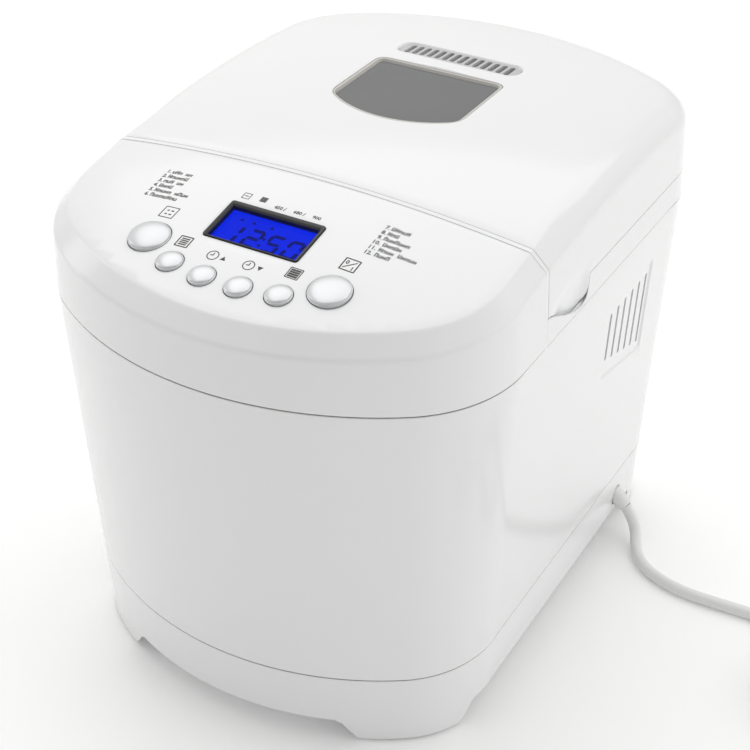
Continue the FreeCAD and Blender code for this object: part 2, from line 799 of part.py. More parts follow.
# ---------------------------------------------------------------- oven
def make_oven():
    """Steel chamber with a flange that hangs on the deck, and its shield."""
    half_x = oven_width.value / 2
    half_y = oven_length.value / 2
    t = sheet_metal.value
    low = oven_floor.value
    rim = deck_height.value + 2
    mid = oven_y.value
    corner = oven_corner.value
    tub = rounded(half_x, half_y, corner, low, rim + t - low, mid)
    flange = rounded(half_x + 4, half_y + 4, corner + 4, rim, t, mid)
    inside = rounded(half_x - t, half_y - t, corner - t, low + t, FAR, mid)
    liner = tub.fuse(flange).cut(inside)
    liner = liner.cut(Part.makeCylinder(11, 20, Vector(0, mid, low - 10)))
    backward = Vector(0, 1, 0)
    leg_roots = [Vector(x, mid + half_y - 15, element_height()) for x in ELEMENT_LEGS]
    for root in leg_roots:
        liner = liner.cut(Part.makeCylinder(ELEMENT_RADIUS, 30, root, backward))
    liner = liner.cut(sensor_form())
    finish(shaped(liner), "oven_liner")
    gap = 6
    shield = rounded(half_x + gap, half_y + gap, corner + gap, low + 4, deck_height.value - low - 4, mid)
    shield = shield.cut(rounded(half_x + gap - t, half_y + gap - t, corner + gap - t, 0, FAR, mid))
    for root in leg_roots:
        shield = shield.cut(Part.makeCylinder(ELEMENT_RADIUS + 1.5, 40, root, backward))
    shield = shield.cut(block(SENSOR_X - 9, SENSOR_X + 9, -FAR, mid, 96, 124))
    finish(shaped(shield), "heat_shield")
    finish(shaped(sensor_form()), "temperature_sensor")


SENSOR_X = 42.0
ELEMENT_RADIUS = 3.2
ELEMENT_LEGS = (-13.0, 13.0)


def element_height():
    return oven_floor.value + 14


def sensor_form():
    """Probe with a nut, through the chamber's front wall."""
    wall_y = oven_y.value - oven_length.value / 2
    probe = Part.makeCylinder(3, 26, Vector(SENSOR_X, wall_y - 16, 110), Vector(0, 1, 0))
    nut = Part.makeCylinder(6.5, 4, Vector(SENSOR_X, wall_y - 4, 110), Vector(0, 1, 0))
    return probe.fuse(nut)


def bent_tube(points, radius, bends):
    """Tube of straight runs joined by tangent arcs, and the length of its line."""
    edges = []
    length = 0.0
    start = points[0]
    for before, corner, after, bend in zip(points, points[1:], points[2:], bends):
        into = (corner - before).normalize()
        out = (after - corner).normalize()
        turn = into.getAngle(out)
        reach = bend * math.tan(turn / 2)
        first = corner - into * reach
        last = corner + out * reach
        centre = corner + (out - into).normalize() * (bend / math.cos(turn / 2))
        middle = centre + (corner - centre).normalize() * bend
        edges.append(Part.LineSegment(start, first).toShape())
        edges.append(Part.Arc(first, middle, last).toShape())
        length += (first - start).Length + bend * turn
        start = last
    edges.append(Part.LineSegment(start, points[-1]).toShape())
    length += (points[-1] - start).Length
    path = Part.Wire(edges)
    way = (points[1] - points[0]).normalize()
    section = Part.Wire(Part.Circle(points[0], way, radius).toShape())
    tube = path.makePipeShell([section], True, False)
    expected = math.pi * radius ** 2 * length
    if abs(tube.Volume / expected - 1) > 0.01:
        raise RuntimeError(f"tube holds {tube.Volume:.0f} of {expected:.0f} cubic mm")
    return tube, length


def make_element():
    half_x = oven_width.value / 2 - 11
    half_y = oven_length.value / 2 - 11
    mid = oven_y.value
    z = element_height()
    leg = ELEMENT_LEGS[1]
    end = mid + oven_length.value / 2 + 12
    right = [(leg, end), (leg, mid + half_y), (half_x, mid + half_y), (half_x, mid - half_y)]
    plan = right + [(-x, y) for x, y in reversed(right)]
    points = [Vector(x, y, z) for x, y in plan]
    bends = [8, 22, 22, 22, 22, 8]
    finish(shaped(bent_tube(points, ELEMENT_RADIUS, bends)[0]), "heating_element")
    clips = []
    low = oven_floor + sheet_metal
    top = oven_floor + 14 - ELEMENT_RADIUS
    for x in (-1, 1):
        for y in (-30, 30):
            centre = x * (oven_width / 2 - 11)
            middle = oven_y + y
            clips.append(box(centre - 4, centre + 4, middle - 4, middle + 4, low, top))
    finish(group(*clips), "element_clips")


def make_socket():
    """Cast mount on the chamber floor that the pan drops into, with two clips."""
    low = oven_floor + sheet_metal
    corners = [(11.5, 0), (44, 0), (44, 2), (41, 2), (41, 9), (37, 9), (37, 2), (11.5, 2)]
    finish(turned(corners, 0, oven_y, low), "pan_socket")
    clips = []
    for side in (-1, 1):
        inner = side * 44.3
        outer = side * 46.3
        x0, x1 = min(inner, outer), max(inner, outer)
        clips.append(box(x0, x1, oven_y - 7, oven_y + 7, low, low + 14))
    finish(group(*clips), "pan_clips")


def make_deck(housing):
    """Deck round the oven's mouth, under the lid."""
    low = deck_height.value
    form = column(low, low + 2, wall.value + 0.05).common(block(-FAR, FAR, PANEL_EDGE, FAR, 0, FAR))
    half_x = oven_width.value / 2 + 0.2
    half_y = oven_length.value / 2 + 0.2
    form = form.cut(rounded(half_x, half_y, oven_corner.value, 0, FAR, oven_y.value)).cut(housing)
    deck = max(form.Solids, key=lambda solid: solid.Volume)
    finish(shaped(deck), "top_deck")


# ---------------------------------------------------------------- bread pan
def pan_plan(height, inset):
    """Rounded rectangle of the tapered pan at a height."""
    lean = pan_taper.value * (pan_rim.value - height) / (pan_rim.value - pan_floor.value)
    half_x = pan_width.value / 2 - lean - inset
    half_y = pan_length.value / 2 - lean - inset
    form = rounded(half_x, half_y, pan_corner.value - inset, height, 1, oven_y.value)
    floor = min(form.Faces, key=lambda face: face.CenterOfMass.z)
    return floor.OuterWire


def make_pan():
    low = pan_floor.value
    top = pan_rim.value
    outer = Part.makeLoft([pan_plan(low, 0), pan_plan(top, 0)], True, True)
    thick = pan_wall.value
    inner = Part.makeLoft([pan_plan(low + thick, thick), pan_plan(top + 0.5, thick)], True, True)
    half_x = pan_width.value / 2
    half_y = pan_length.value / 2
    rim = rounded(half_x + 4, half_y + 4, pan_corner.value + 4, top - 1.6, 1.6, oven_y.value)
    pan = outer.fuse(rim).cut(inner)
    pan = pan.cut(Part.makeCylinder(BUSH_RADIUS, 20, Vector(0, oven_y.value, low - 10)))
    finish(shaped(pan), "bread_pan")
    low = oven_floor + sheet_metal + 2.4
    height = pan_floor - low
    corners = [(32, 0), (36.4, 0), (36.4, height), (32, height)]
    finish(turned(corners, 0, oven_y, low), "pan_base")
    bore = shaft_radius + shaft_fit
    corners = [(bore, -1.4), (BUSH_RADIUS, -1.4), (BUSH_RADIUS, 1.8), (10, 1.8)]
    corners += [(10, 4), (8, 4), (8, 9), (bore, 9)]
    finish(turned(corners, 0, oven_y, pan_floor), "pan_bearing")
    dog_top = pan_floor - 1.7
    dog_low = oven_floor + sheet_metal + 7 + 7
    hub = rod(0, oven_y, dog_low, 8.5, dog_top - dog_low)
    spindle = rod(0, oven_y, dog_low, shaft_radius, pan_floor + 26 - dog_low)
    lugs = [box(-2.5, 2.5, oven_y + y - 2, oven_y + y + 2, dog_low - 5.4, dog_low) for y in (-5.5, 5.5)]
    finish(fuse(hub, spindle, *lugs), "pan_shaft")
    low = pan_floor + 9.4
    hub = cut(rod(0, oven_y, low, 10, 20), rod(0, oven_y, low - 1, shaft_radius, 17.6))
    blade = plate([(6, -3), (50, -1.5), (50, 1.5), (6, 3)], 17, 0, oven_y, low)
    sweep = plate([(-6, -3), (-24, -1.5), (-24, 1.5), (-6, 3)], 9, 0, oven_y, low)
    paddle = cut(fuse(hub, blade, sweep), rod(0, oven_y, low - 1, shaft_radius, 17.6))
    finish(paddle, "kneading_paddle")


HANDLE_RADIUS = 2.2
HANDLE_ARM = 58.0
HANDLE_REST = math.radians(10.6)
HANDLE_DROP = 8.0


def make_handle():
    """Bail that lies on the rim; its ends turn in two brackets on the pan."""
    pivot_z = pan_rim - HANDLE_DROP
    side = pan_width.value / 2 + 8.5
    brackets = []
    for sign in (-1, 1):
        inner = pan_width / 2 - 0.62
        outer = pan_width / 2 + 4.4
        x0, x1 = (inner, outer) if sign > 0 else (-outer, -inner)
        ear = box(x0, x1, oven_y - 6, oven_y + 6, pivot_z - 6, pan_rim - 1.6)
        bore = rod(x0 - 1, oven_y, pivot_z, HANDLE_RADIUS + shaft_fit, 10, "x")
        brackets.append(cut(ear, bore))
    finish(group(*brackets), "handle_brackets")
    rise = HANDLE_ARM * math.sin(HANDLE_REST)
    run = HANDLE_ARM * math.cos(HANDLE_REST)
    z = pivot_z.value
    y = oven_y.value
    pin = pan_width.value / 2 + 0.6
    plan = [(pin, y, z), (side, y, z), (side, y + run, z + rise)]
    points = [Vector(*p) for p in plan] + [Vector(-a, b, c) for a, b, c in reversed(plan)]
    finish(shaped(bent_tube(points, HANDLE_RADIUS, [3.4, 10, 10, 3.4])[0]), "pan_handle")


# ---------------------------------------------------------------- controls
BOARD_DEPTH = 12.0
SWITCH_HEIGHT = 3.5
PLUNGER = 0.6
DISPLAY_SIDE_LIP = 2.0
DISPLAY_FRONT_LIP = 1.0
DISPLAY_BACK_LIP = 3.0


def panel_part(form, label):
    """Part of the display stack, given square to the deck at the display."""
    finish(shaped(tilted(form, on_panel(0, 0, 0))), label)


def make_controls():
    """Display stack, board and switches, square to the deck."""
    half_x = display_width.value / 2
    half_y = display_depth.value / 2
    clear_x = half_x - DISPLAY_SIDE_LIP
    front = DISPLAY_FRONT_LIP - half_y
    rear = half_y - DISPLAY_BACK_LIP
    opening = block(-clear_x, clear_x, front, rear, -9, 9)
    bezel = block(-half_x, half_x, -half_y, half_y, -3, 0.2).cut(opening)
    panel_part(bezel, "display_bezel")
    panel_part(block(-clear_x, clear_x, front, rear, -1.8, -0.5), "display_window")
    cell_x = half_x - 1
    cell_y = half_y - 0.5
    panel_part(block(-cell_x, cell_x, -cell_y, cell_y, -6.4, -3), "lcd_panel")
    board = [(-74, 18), (74, 18), (74, -24), (52, -40), (-52, -40), (-74, -24)]
    spot = on_panel(0, 0, BOARD_DEPTH + 1.6)
    finish(plate(board, 1.6, spot.x, spot.y, spot.z, PANEL_TURN), "control_board")
    switches = []
    for name, x, inset, radius in BUTTONS:
        seat = button_seat(x, inset)
        reach = BOARD_DEPTH - surface_drop(seat)
        corners = [(0, -reach), (3, -reach), (3, SWITCH_HEIGHT - reach), (1.6, SWITCH_HEIGHT - reach)]
        corners += [(1.6, SWITCH_HEIGHT + PLUNGER - reach), (0, SWITCH_HEIGHT + PLUNGER - reach)]
        switches.append(turned(corners, seat.x, seat.y, seat.z, PANEL_TURN))
        stem = reach - SWITCH_HEIGHT - PLUNGER - button_travel.value - 0.1
        under = wall + 0.4 + (radius + 1.3) * surface_lean(seat)
        r = radius
        corners = [(0, -stem), (2.6, -stem), (2.6, -under - 1.4), (r + 1.3, -under - 1.4), (r + 1.3, -under)]
        corners += [(r, -under), (r, button_stand - 1.3), (r * 0.9, button_stand - 0.55)]
        corners += [(r * 0.6, button_stand - 0.12), (0, button_stand)]
        finish(turned(corners, seat.x, seat.y, seat.z, PANEL_TURN), name)
    finish(group(*switches), "button_switches")


def surface_drop(seat):
    """How far a button's seat lies under the plane that touches the deck at the display."""
    normal = PANEL_TURN.multVec(Vector(0, 0, 1))
    return -(seat - on_panel(0, 0, 0)).dot(normal)


def surface_lean(seat):
    """Slope of the deck against a button's flange, at the seat."""
    along = dome_height(seat.x, seat.y + 1) - dome_height(seat.x, seat.y - 1)
    across = dome_height(seat.x + 1, seat.y) - dome_height(seat.x - 1, seat.y)
    extra = math.atan(along / 2) - math.radians(panel_tilt.value)
    return math.hypot(math.tan(extra), across / 2)


def board_posts():
    """Posts under the deck that carry the control board."""
    roots = [Vector(x, y, -BOARD_DEPTH) for x in (-69, 69) for y in (-17, 13)]
    posts = [Part.makeCylinder(3.2, BOARD_DEPTH, root) for root in roots]
    whole = posts[0].multiFuse(posts[1:])
    return tilted(whole, on_panel(0, 0, 0)).common(capped(seam_height.value, 0.8))


def make_power_board():
    """Mains board beside the chassis, and the block that the cord ends on."""
    low = FLOOR_TOP + 5
    middle = 27 - width / 2
    board = box(middle - 12, middle + 12, -70, 50, low, low + 1.6)
    relay = box(middle - 8, middle + 6, -60, -40, low + 1.6, low + 17)
    sink = box(middle - 10, middle + 10, -20, 4, low + 1.6, low + 14)
    store = rod(middle, 28, low + 1.6, 7, 18)
    legs = [rod(middle, y, FLOOR_TOP, 2.5, 5) for y in (-64, 44)]
    finish(fuse(board, relay, sink, store, *legs), "power_board")
    side = width / 2 - 57
    finish(box(side, side + 22, 62, 92, FLOOR_TOP, FLOOR_TOP + 14), "terminal_block")


# ---------------------------------------------------------------- lid
def make_hinge():
    """Two hinges at the back: brackets on the deck, pins, and the lid's arms."""
    brackets = []
    pins = []
    arms = []
    deck_top = deck_height + 2
    for side in (-1, 1):
        x = side * hinge_x
        base = box(x - 11.5, x + 11.5, hinge_y - 9, hinge_y + 4, deck_top, lid_seam - 0.4)
        cheeks = []
        for edge in (-11.5, 8.5):
            cheeks.append(rod(x + edge, hinge_y, hinge_z, 6, 3, "x"))
            cheeks.append(box(x + edge, x + edge + 3, hinge_y - 5.5, hinge_y + 4, lid_seam - 0.4, hinge_z))
        bracket = fuse(base, *cheeks)
        brackets.append(cut(bracket, rod(x - 20, hinge_y, hinge_z, pin_radius, 40, "x")))
        pins.append(rod(x - 12.5, hinge_y, hinge_z, pin_radius, 25, "x"))
        knuckle = rod(x - 8, hinge_y, hinge_z, 5.6, 16, "x")
        arm = box(x - 8, x + 8, hinge_y - 24, hinge_y, lid_seam + FRAME_TOP, hinge_z + 1)
        arms.append(cut(fuse(knuckle, arm), rod(x - 20, hinge_y, hinge_z, pin_radius + shaft_fit, 40, "x")))
    finish(group(*brackets), "hinge_brackets")
    finish(group(*pins), "hinge_pins")
    finish(group(*arms), "lid_hinge_arms")


FRAME_LOW = 0.4
FRAME_TOP = 3.0
LINER_GROW = 3.0
BOSS_INSET = 13.0
boss_x = width.value / 2 - BOSS_INSET
BOSSES = tuple((x, y) for y in (-38, 70) for x in (-boss_x, boss_x))
BOSS_RADIUS = 4.5


def lid_screw_form(x, y):
    """Screw up through the lid's frame into a boss, head down."""
    low = lid_seam.value + FRAME_LOW
    head = Part.makeCylinder(3, 1.4, Vector(x, y, low))
    shank = Part.makeCylinder(1.5, 14, Vector(x, y, low))
    return head.fuse(shank)


def make_lid_inside():
    """White frame, steel liner and seal that face the oven."""
    half_x = oven_width.value / 2 + LINER_GROW
    half_y = oven_length.value / 2 + LINER_GROW
    corner = oven_corner.value + LINER_GROW
    mid = oven_y.value
    low = lid_seam.value + FRAME_LOW
    frame = column(low, lid_seam.value + FRAME_TOP, wall.value + 0.1)
    frame = frame.common(block(-FAR, FAR, lid_front.value + wall.value + 0.05, FAR, 0, FAR))
    frame = frame.cut(rounded(half_x, half_y, corner, 0, FAR, mid))
    back = hinge_y.value - 8
    frame = frame.cut(block(-notch_half.value, notch_half.value, back, FAR, 0, FAR))
    for x, y in BOSSES:
        frame = frame.cut(lid_screw_form(x, y))
    finish(shaped(frame), "lid_frame")
    t = sheet_metal.value
    bottom = deck_height.value + 4.5
    liner = rounded(half_x, half_y, corner, bottom, liner_top.value + t - bottom, mid)
    height = liner_top.value - bottom + 1
    liner = liner.cut(rounded(half_x - t, half_y - t, corner - t, bottom - 1, height, mid))
    liner = liner.cut(window_form(200, FAR, -7))
    for step in range(9):
        hole = Vector((step - 4) * 6.5, grille_front.value + grille_depth.value / 2, liner_top.value - 2)
        liner = liner.cut(Part.makeCylinder(2, 6, hole))
    finish(shaped(liner), "lid_liner")
    seal = rounded(half_x + 3.4, half_y + 3.4, corner + 3.4, bottom - 1.2, low - bottom + 1.2, mid)
    seal = seal.cut(rounded(half_x + 0.05, half_y + 0.05, corner, 0, FAR, mid))
    finish(shaped(seal), "lid_seal")
    finish(shaped(Part.makeCompound([lid_screw_form(x, y) for x, y in BOSSES])), "lid_screws")


def make_window():
    """Frame and funnel with an outer and an inner pane, and the steam grille."""
    pane_low = pane_top.value - glass.value
    under = capped(seam_height.value, 0.25)
    collar = window_form(pane_low - 3, FAR, 0).cut(window_form(pane_low - 4, FAR, -2.5)).common(under)
    funnel = window_form(liner_top.value + 1, pane_low, -2.5).cut(window_form(0, FAR, -4))
    finish(shaped(collar.fuse(funnel)), "window_frame")
    finish(shaped(window_form(pane_low, pane_top.value, -2.5)), "lid_window_outer")
    low = liner_top.value + 1
    finish(shaped(window_form(low, low + glass.value, -4)), "lid_window_inner")
    grille = grille_form(256, FAR, 0).common(dome(1.4))
    count = 14
    pitch = (grille_width.value - 8) / count
    for step in range(count):
        x = (step - (count - 1) / 2) * pitch
        low_y = grille_front.value + 1.8
        high_y = grille_front.value + grille_depth.value - 1.8
        grille = grille.cut(block(x - pitch * 0.3, x + pitch * 0.3, low_y, high_y, 250, FAR))
    finish(shaped(grille), "vent_grille")


def make_upper_housing_and_lid():
    housing, lid = make_casing_top()
    housing = housing.fuse(board_posts())
    for tool in panel_openings():
        housing = housing.cut(tool)
    finish(shaped(housing), "upper_housing")
    lid = lid.cut(window_form(RECESS, FAR, 0.1)).cut(grille_form(RECESS, FAR, 0.1))
    inside = capped(seam_height.value, 0.5)
    for x, y in BOSSES:
        reach = dome_top.value - lid_seam.value
        boss = Part.makeCylinder(BOSS_RADIUS, reach, Vector(x, y, lid_seam.value + FRAME_TOP))
        lid = lid.fuse(boss.common(inside)).cut(lid_screw_form(x, y))
    finish(shaped(lid), "lid_shell")
    make_deck(housing)


RECESS = 246.0

# ---------------------------------------------------------------- mains lead
CORD_ROUTE = (
    (4.2, 74.2, 13.4),
    (8.2, 70.6, 7.4),
    (11.2, 64.2, 4.0),
    (15.6, 56.2, 3.5),
    (23.5, 48.6, 3.3),
    (35.5, 43.0, 3.5),
    (51.0, 40.4, 3.3),
    (69.0, 41.2, 3.5),
    (90.5, 42.8, 3.3),
    (112.5, 42.3, 3.5),
    (134.0, 40.6, 3.3),
)
TAIL_ROUTE = (
    (176.6, -25.6, 9.9),
    (168.6, -34.6, 10.4),
    (163.4, -45.6, 12.6),
    (160.6, -57.6, 15.8),
    (159.6, -68.6, 18.0),
)
COIL_CENTRE = Vector(width.value / 2 + 149, 2.5, 0.0)
COIL_TURNS = 4


def route_bends(points):
    """Bend radii as large as each pair of runs allows."""
    bends = []
    for before, corner, after in zip(points, points[1:], points[2:]):
        turn = (corner - before).getAngle(after - corner)
        shorter = min((corner - before).Length, (after - corner).Length)
        bends.append(0.45 * shorter / math.tan(turn / 2))
    print("bend radii", [round(bend, 1) for bend in bends])
    return bends


def make_cord():
    """Mains lead: sleeve, tube on the floor, coil of four turns, tail and plug."""
    finish(shaped(sleeve_form(0)), "cord_relief")
    radius = cord_radius.value
    side = Vector(width.value / 2, 0, 0)
    lead = [side + Vector(*point) for point in CORD_ROUTE]
    tail = [side + Vector(*point) for point in TAIL_ROUTE]
    routes = [[cord_exit(), *lead], tail]
    tubes = []
    total = 0.0
    for route in routes:
        tube, length = bent_tube(route, radius, route_bends(route))
        tubes.append(tube)
        total += length
    finish(shaped(Part.makeCompound(tubes)), "power_cord")
    middle = coil_radius.value
    low = 0.1
    ring = Part.makeCylinder(middle + 2 * radius, 4 * radius, COIL_CENTRE + Vector(0, 0, low))
    ring = ring.cut(Part.makeCylinder(middle - 2 * radius, 4 * radius + 2, COIL_CENTRE))
    finish(shaped(ring), "cord_coil")
    total += COIL_TURNS * 2 * math.pi * middle
    print("cord length", round(total))
    way = (routes[1][-1] - routes[1][-2]).normalize()
    way.z = 0
    way.normalize()
    turn = Rotation(Vector(0, 0, 1), way)
    spot = routes[1][-1]
    profile = [(0, 0), (4.4, 0), (6.5, 14), (11, 18), (17.5, 22), (17.5, 46), (16, 48), (0, 48)]
    body = turned(profile, spot.x, spot.y, spot.z, turn)
    pins = []
    across = turn.multVec(Vector(0, 1, 0))
    for side in (-9.5, 9.5):
        root = spot + way * 48 + across * side
        pin = turned([(0, 0), (2.4, 0), (2.4, 18), (1.4, 19), (0, 19)], root.x, root.y, root.z, turn)
        pins.append(pin)
    finish(fuse(body, *pins), "cord_plug")


make_base_skirt()
make_feet()
make_body_shell()
make_upper_housing_and_lid()
make_chassis()
make_motor()
make_drive()
make_belt()
make_oven()
make_element()
make_socket()
make_pan()
make_handle()
make_controls()
make_power_board()
make_hinge()
make_lid_inside()
make_window()
make_cord()


# ---------------------------------------------------------------- check and write
doc.recompute()
os.makedirs("parts", exist_ok=True)
for thing in doc.Objects:
    if "Invalid" in thing.State or "Error" in thing.State:
        raise RuntimeError(f"{thing.Label} failed: {thing.State}")
for node in nodes:
    if node.Shape.isNull() or not node.Shape.isValid():
        raise RuntimeError(f"{node.Label} has no valid shape")
for node in nodes:
    node.Shape.exportStep(f"parts/{node.Label}.step")
    print(node.Label, len(node.Shape.Solids), round(node.Shape.Volume), node.Shape.BoundBox)
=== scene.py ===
"""Bread machine: outer skins, controls, window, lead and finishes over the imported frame.

Shapes are worked out in millimetres and written to the meshes in metres.
"""
import json
import math
import bmesh
import bpy
import numpy as np
from mathutils import Matrix, Vector
from mathutils.geometry import delaunay_2d_cdt


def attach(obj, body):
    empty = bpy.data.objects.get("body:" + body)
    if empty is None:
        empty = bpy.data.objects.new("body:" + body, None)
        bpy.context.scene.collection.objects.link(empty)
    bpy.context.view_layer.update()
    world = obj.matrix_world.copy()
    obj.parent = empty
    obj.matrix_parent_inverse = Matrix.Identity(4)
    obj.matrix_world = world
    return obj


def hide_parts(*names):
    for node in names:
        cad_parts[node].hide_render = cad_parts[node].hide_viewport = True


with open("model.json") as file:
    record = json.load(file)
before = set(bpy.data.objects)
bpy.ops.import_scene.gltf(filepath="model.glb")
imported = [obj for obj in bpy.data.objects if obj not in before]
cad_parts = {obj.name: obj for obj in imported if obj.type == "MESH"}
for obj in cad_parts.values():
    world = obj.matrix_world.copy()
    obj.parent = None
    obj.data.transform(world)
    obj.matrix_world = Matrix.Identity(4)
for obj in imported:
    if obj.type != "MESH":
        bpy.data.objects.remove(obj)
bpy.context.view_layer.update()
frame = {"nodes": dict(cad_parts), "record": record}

scene = bpy.context.scene
cad = frame["nodes"]
MM = 0.001


# ---------------------------------------------------------------- camera
camera = bpy.data.objects.new("camera", bpy.data.cameras.new("camera"))
scene.collection.objects.link(camera)
camera.data.lens = 78.02
camera.data.sensor_width = 36.0
to_right = Vector((0.8653, 0.5013, -0.0015))
to_top = Vector((-0.2837, 0.4923, 0.8229))
ahead = Vector((-0.4133, 0.7116, -0.5682))
camera.matrix_world = Matrix((
    (to_right.x, to_top.x, -ahead.x, 0.3597),
    (to_right.y, to_top.y, -ahead.y, -0.6240),
    (to_right.z, to_top.z, -ahead.z, 0.6118),
    (0, 0, 0, 1),
))
scene.camera = camera


# ---------------------------------------------------------------- shader graphs
class Varying:
    """A socket whose number varies over a surface; arithmetic adds Math nodes."""

    def __init__(self, graph, socket):
        self.graph = graph
        self.socket = socket

    def worked(self, operation, left, right):
        node = self.graph.node("ShaderNodeMath", {"operation": operation}, {0: left, 1: right})
        return Varying(self.graph, node.outputs[0])

    def __add__(self, other):
        return self.worked("ADD", self, other)

    def __radd__(self, other):
        return self.worked("ADD", other, self)

    def __sub__(self, other):
        return self.worked("SUBTRACT", self, other)

    def __rsub__(self, other):
        return self.worked("SUBTRACT", other, self)

    def __mul__(self, other):
        return self.worked("MULTIPLY", self, other)

    def __rmul__(self, other):
        return self.worked("MULTIPLY", other, self)

    def over(self, limit):
        return self.worked("GREATER_THAN", self, limit)


class Finish:
    """A named surface finish: a material and the nodes that feed its shader."""

    def __init__(self, name, colour, roughness, **constants):
        self.material = bpy.data.materials.new(name)
        self.material.use_nodes = True
        self.tree = self.material.node_tree
        self.shader = self.tree.nodes["Principled BSDF"]
        self.shader.inputs["Base Color"].default_value = (*colour, 1)
        self.shader.inputs["Roughness"].default_value = roughness
        for socket, value in constants.items():
            self.shader.inputs[socket.replace("_", " ")].default_value = value
        self.place = self.node("ShaderNodeTexCoord", {}, {}).outputs["Object"]

    def node(self, kind, settings, inputs):
        """Any node: its type, its settings, and the values or links of its inputs."""
        made = self.tree.nodes.new(kind)
        for key, value in settings.items():
            setattr(made, key, value)
        for key, value in inputs.items():
            self.feed(made.inputs[key], value)
        return made

    def feed(self, socket, value):
        if isinstance(value, Varying):
            value = value.socket
        if isinstance(value, bpy.types.NodeSocket):
            self.tree.links.new(value, socket)
        else:
            socket.default_value = value

    def noise(self, scale, detail=2.0, stretch=(1, 1, 1), roughness=0.5):
        """Noise on object coordinates, scale in features per metre."""
        mapped = self.node("ShaderNodeMapping", {}, {"Vector": self.place, "Scale": stretch})
        made = self.node("ShaderNodeTexNoise", {}, {
            "Vector": mapped.outputs[0], "Scale": scale, "Detail": detail, "Roughness": roughness,
        })
        return Varying(self, made.outputs["Fac"])

    def speckle(self, scale):
        made = self.node("ShaderNodeTexVoronoi", {}, {"Vector": self.place, "Scale": scale})
        return Varying(self, made.outputs["Distance"])

    def ramp(self, factor, low, high):
        """Factor stretched so that low gives 0 and high gives 1."""
        made = self.node("ShaderNodeMapRange", {}, {
            "Value": factor, "From Min": low, "From Max": high, "To Min": 0.0, "To Max": 1.0,
        })
        return Varying(self, made.outputs[0])

    def blend(self, factor, first, second):
        """Colour between two colours or colour sockets."""
        made = self.node("ShaderNodeMix", {"data_type": "RGBA"}, {0: factor})
        for index, colour in ((6, first), (7, second)):
            colour = (*colour, 1) if isinstance(colour, tuple) and len(colour) == 3 else colour
            self.feed(made.inputs[index], colour)
        return made.outputs[2]

    def set(self, socket, value):
        self.feed(self.shader.inputs[socket], value)
        return self

    def bump(self, height, distance, strength=1.0):
        """Surface relief of a height field, distance in metres."""
        made = self.node("ShaderNodeBump", {}, {
            "Height": height, "Distance": distance, "Strength": strength,
        })
        return self.set("Normal", made.outputs[0])


def shade(colour, gain):
    return tuple(min(1.0, channel * gain) for channel in colour)


def moulded(name, colour, roughness, variation=0.03, grain=1500.0, relief=0.00001, **constants):
    """Moulded plastic: faint colour drift, uneven gloss and a fine skin texture."""
    finish = Finish(name, colour, roughness, **constants)
    drift = finish.noise(14.0, 3.0)
    finish.set("Base Color", finish.blend(drift, shade(colour, 1 - variation), shade(colour, 1 + variation)))
    smear = finish.noise(55.0, 4.0)
    finish.set("Roughness", roughness * 0.85 + smear * (roughness * 0.3))
    skin = finish.noise(grain, 2.0)
    finish.bump(skin, relief, 0.6)
    return finish.material


def brushed(name, colour, roughness, stretch=(1, 1, 40), metallic=1.0, stain=0.12):
    """Drawn or brushed metal: long fine scratches and a cloudy tone."""
    finish = Finish(name, colour, roughness, Metallic=metallic)
    lines = finish.noise(900.0, 3.0, stretch)
    cloud = finish.noise(30.0, 4.0)
    tone = finish.ramp(cloud * 0.6 + lines * 0.4, 0.35, 0.65)
    finish.set("Base Color", finish.blend(tone, shade(colour, 1 - stain), shade(colour, 1 + stain)))
    finish.set("Roughness", lines * 0.25 + (roughness - 0.1))
    finish.bump(lines, 0.00002, 0.5)
    return finish.material


def speckled(name, colour, fleck, roughness, scale=900.0, metallic=0.0, amount=0.1):
    """Sprayed coating with small lighter flecks and a fine orange-peel skin."""
    finish = Finish(name, colour, roughness, Metallic=metallic)
    spots = 1 - finish.speckle(scale).over(amount)
    cloud = finish.noise(40.0, 3.0)
    base = finish.blend(cloud, shade(colour, 0.8), shade(colour, 1.25))
    finish.set("Base Color", finish.blend(spots * 0.7, base, fleck))
    finish.set("Roughness", cloud * 0.2 + (roughness - 0.1))
    finish.bump(finish.noise(1100.0, 2.0), 0.00003, 0.6)
    return finish.material


def glazing(name, colour, alpha, roughness, **constants):
    """Thin tinted pane, a little hazy in places."""
    finish = Finish(name, colour, roughness, IOR=1.45, **constants)
    haze = finish.noise(22.0, 3.0)
    finish.set("Roughness", haze * 0.08 + roughness)
    finish.set("Alpha", haze * 0.06 + (alpha - 0.03))
    finish.set("Base Color", finish.blend(haze, shade(colour, 0.96), shade(colour, 1.04)))
    return finish.material


WHITE = (0.82, 0.83, 0.83)
white_gloss = moulded("white_gloss_plastic", WHITE, 0.2, 0.012, 700.0, 0.000012,
                      Coat_Weight=0.35, Coat_Roughness=0.08)
light_grey = moulded("light_grey_plastic", (0.6, 0.6, 0.585), 0.4, 0.03, 1800.0)
silver_grey = moulded("silver_button_plastic", (0.6, 0.61, 0.62), 0.3, 0.05, 2600.0, 0.00001,
                      Metallic=0.75, Coat_Weight=0.2, Coat_Roughness=0.15)
black_plastic = moulded("black_plastic", (0.015, 0.015, 0.017), 0.38, 0.2, 1800.0)
rubber = moulded("black_rubber", (0.035, 0.035, 0.035), 0.75, 0.25, 2200.0, 0.00004)
belt_rubber = moulded("ribbed_belt_rubber", (0.03, 0.03, 0.032), 0.6, 0.2, 1400.0, 0.00005)
cord_white = moulded("white_cord_sheath", (0.8, 0.8, 0.785), 0.42, 0.03, 900.0, 0.00002)
seal_grey = moulded("grey_silicone", (0.3, 0.3, 0.31), 0.6, 0.08, 1500.0, 0.00003)
steel = brushed("brushed_steel", (0.6, 0.6, 0.61), 0.34)
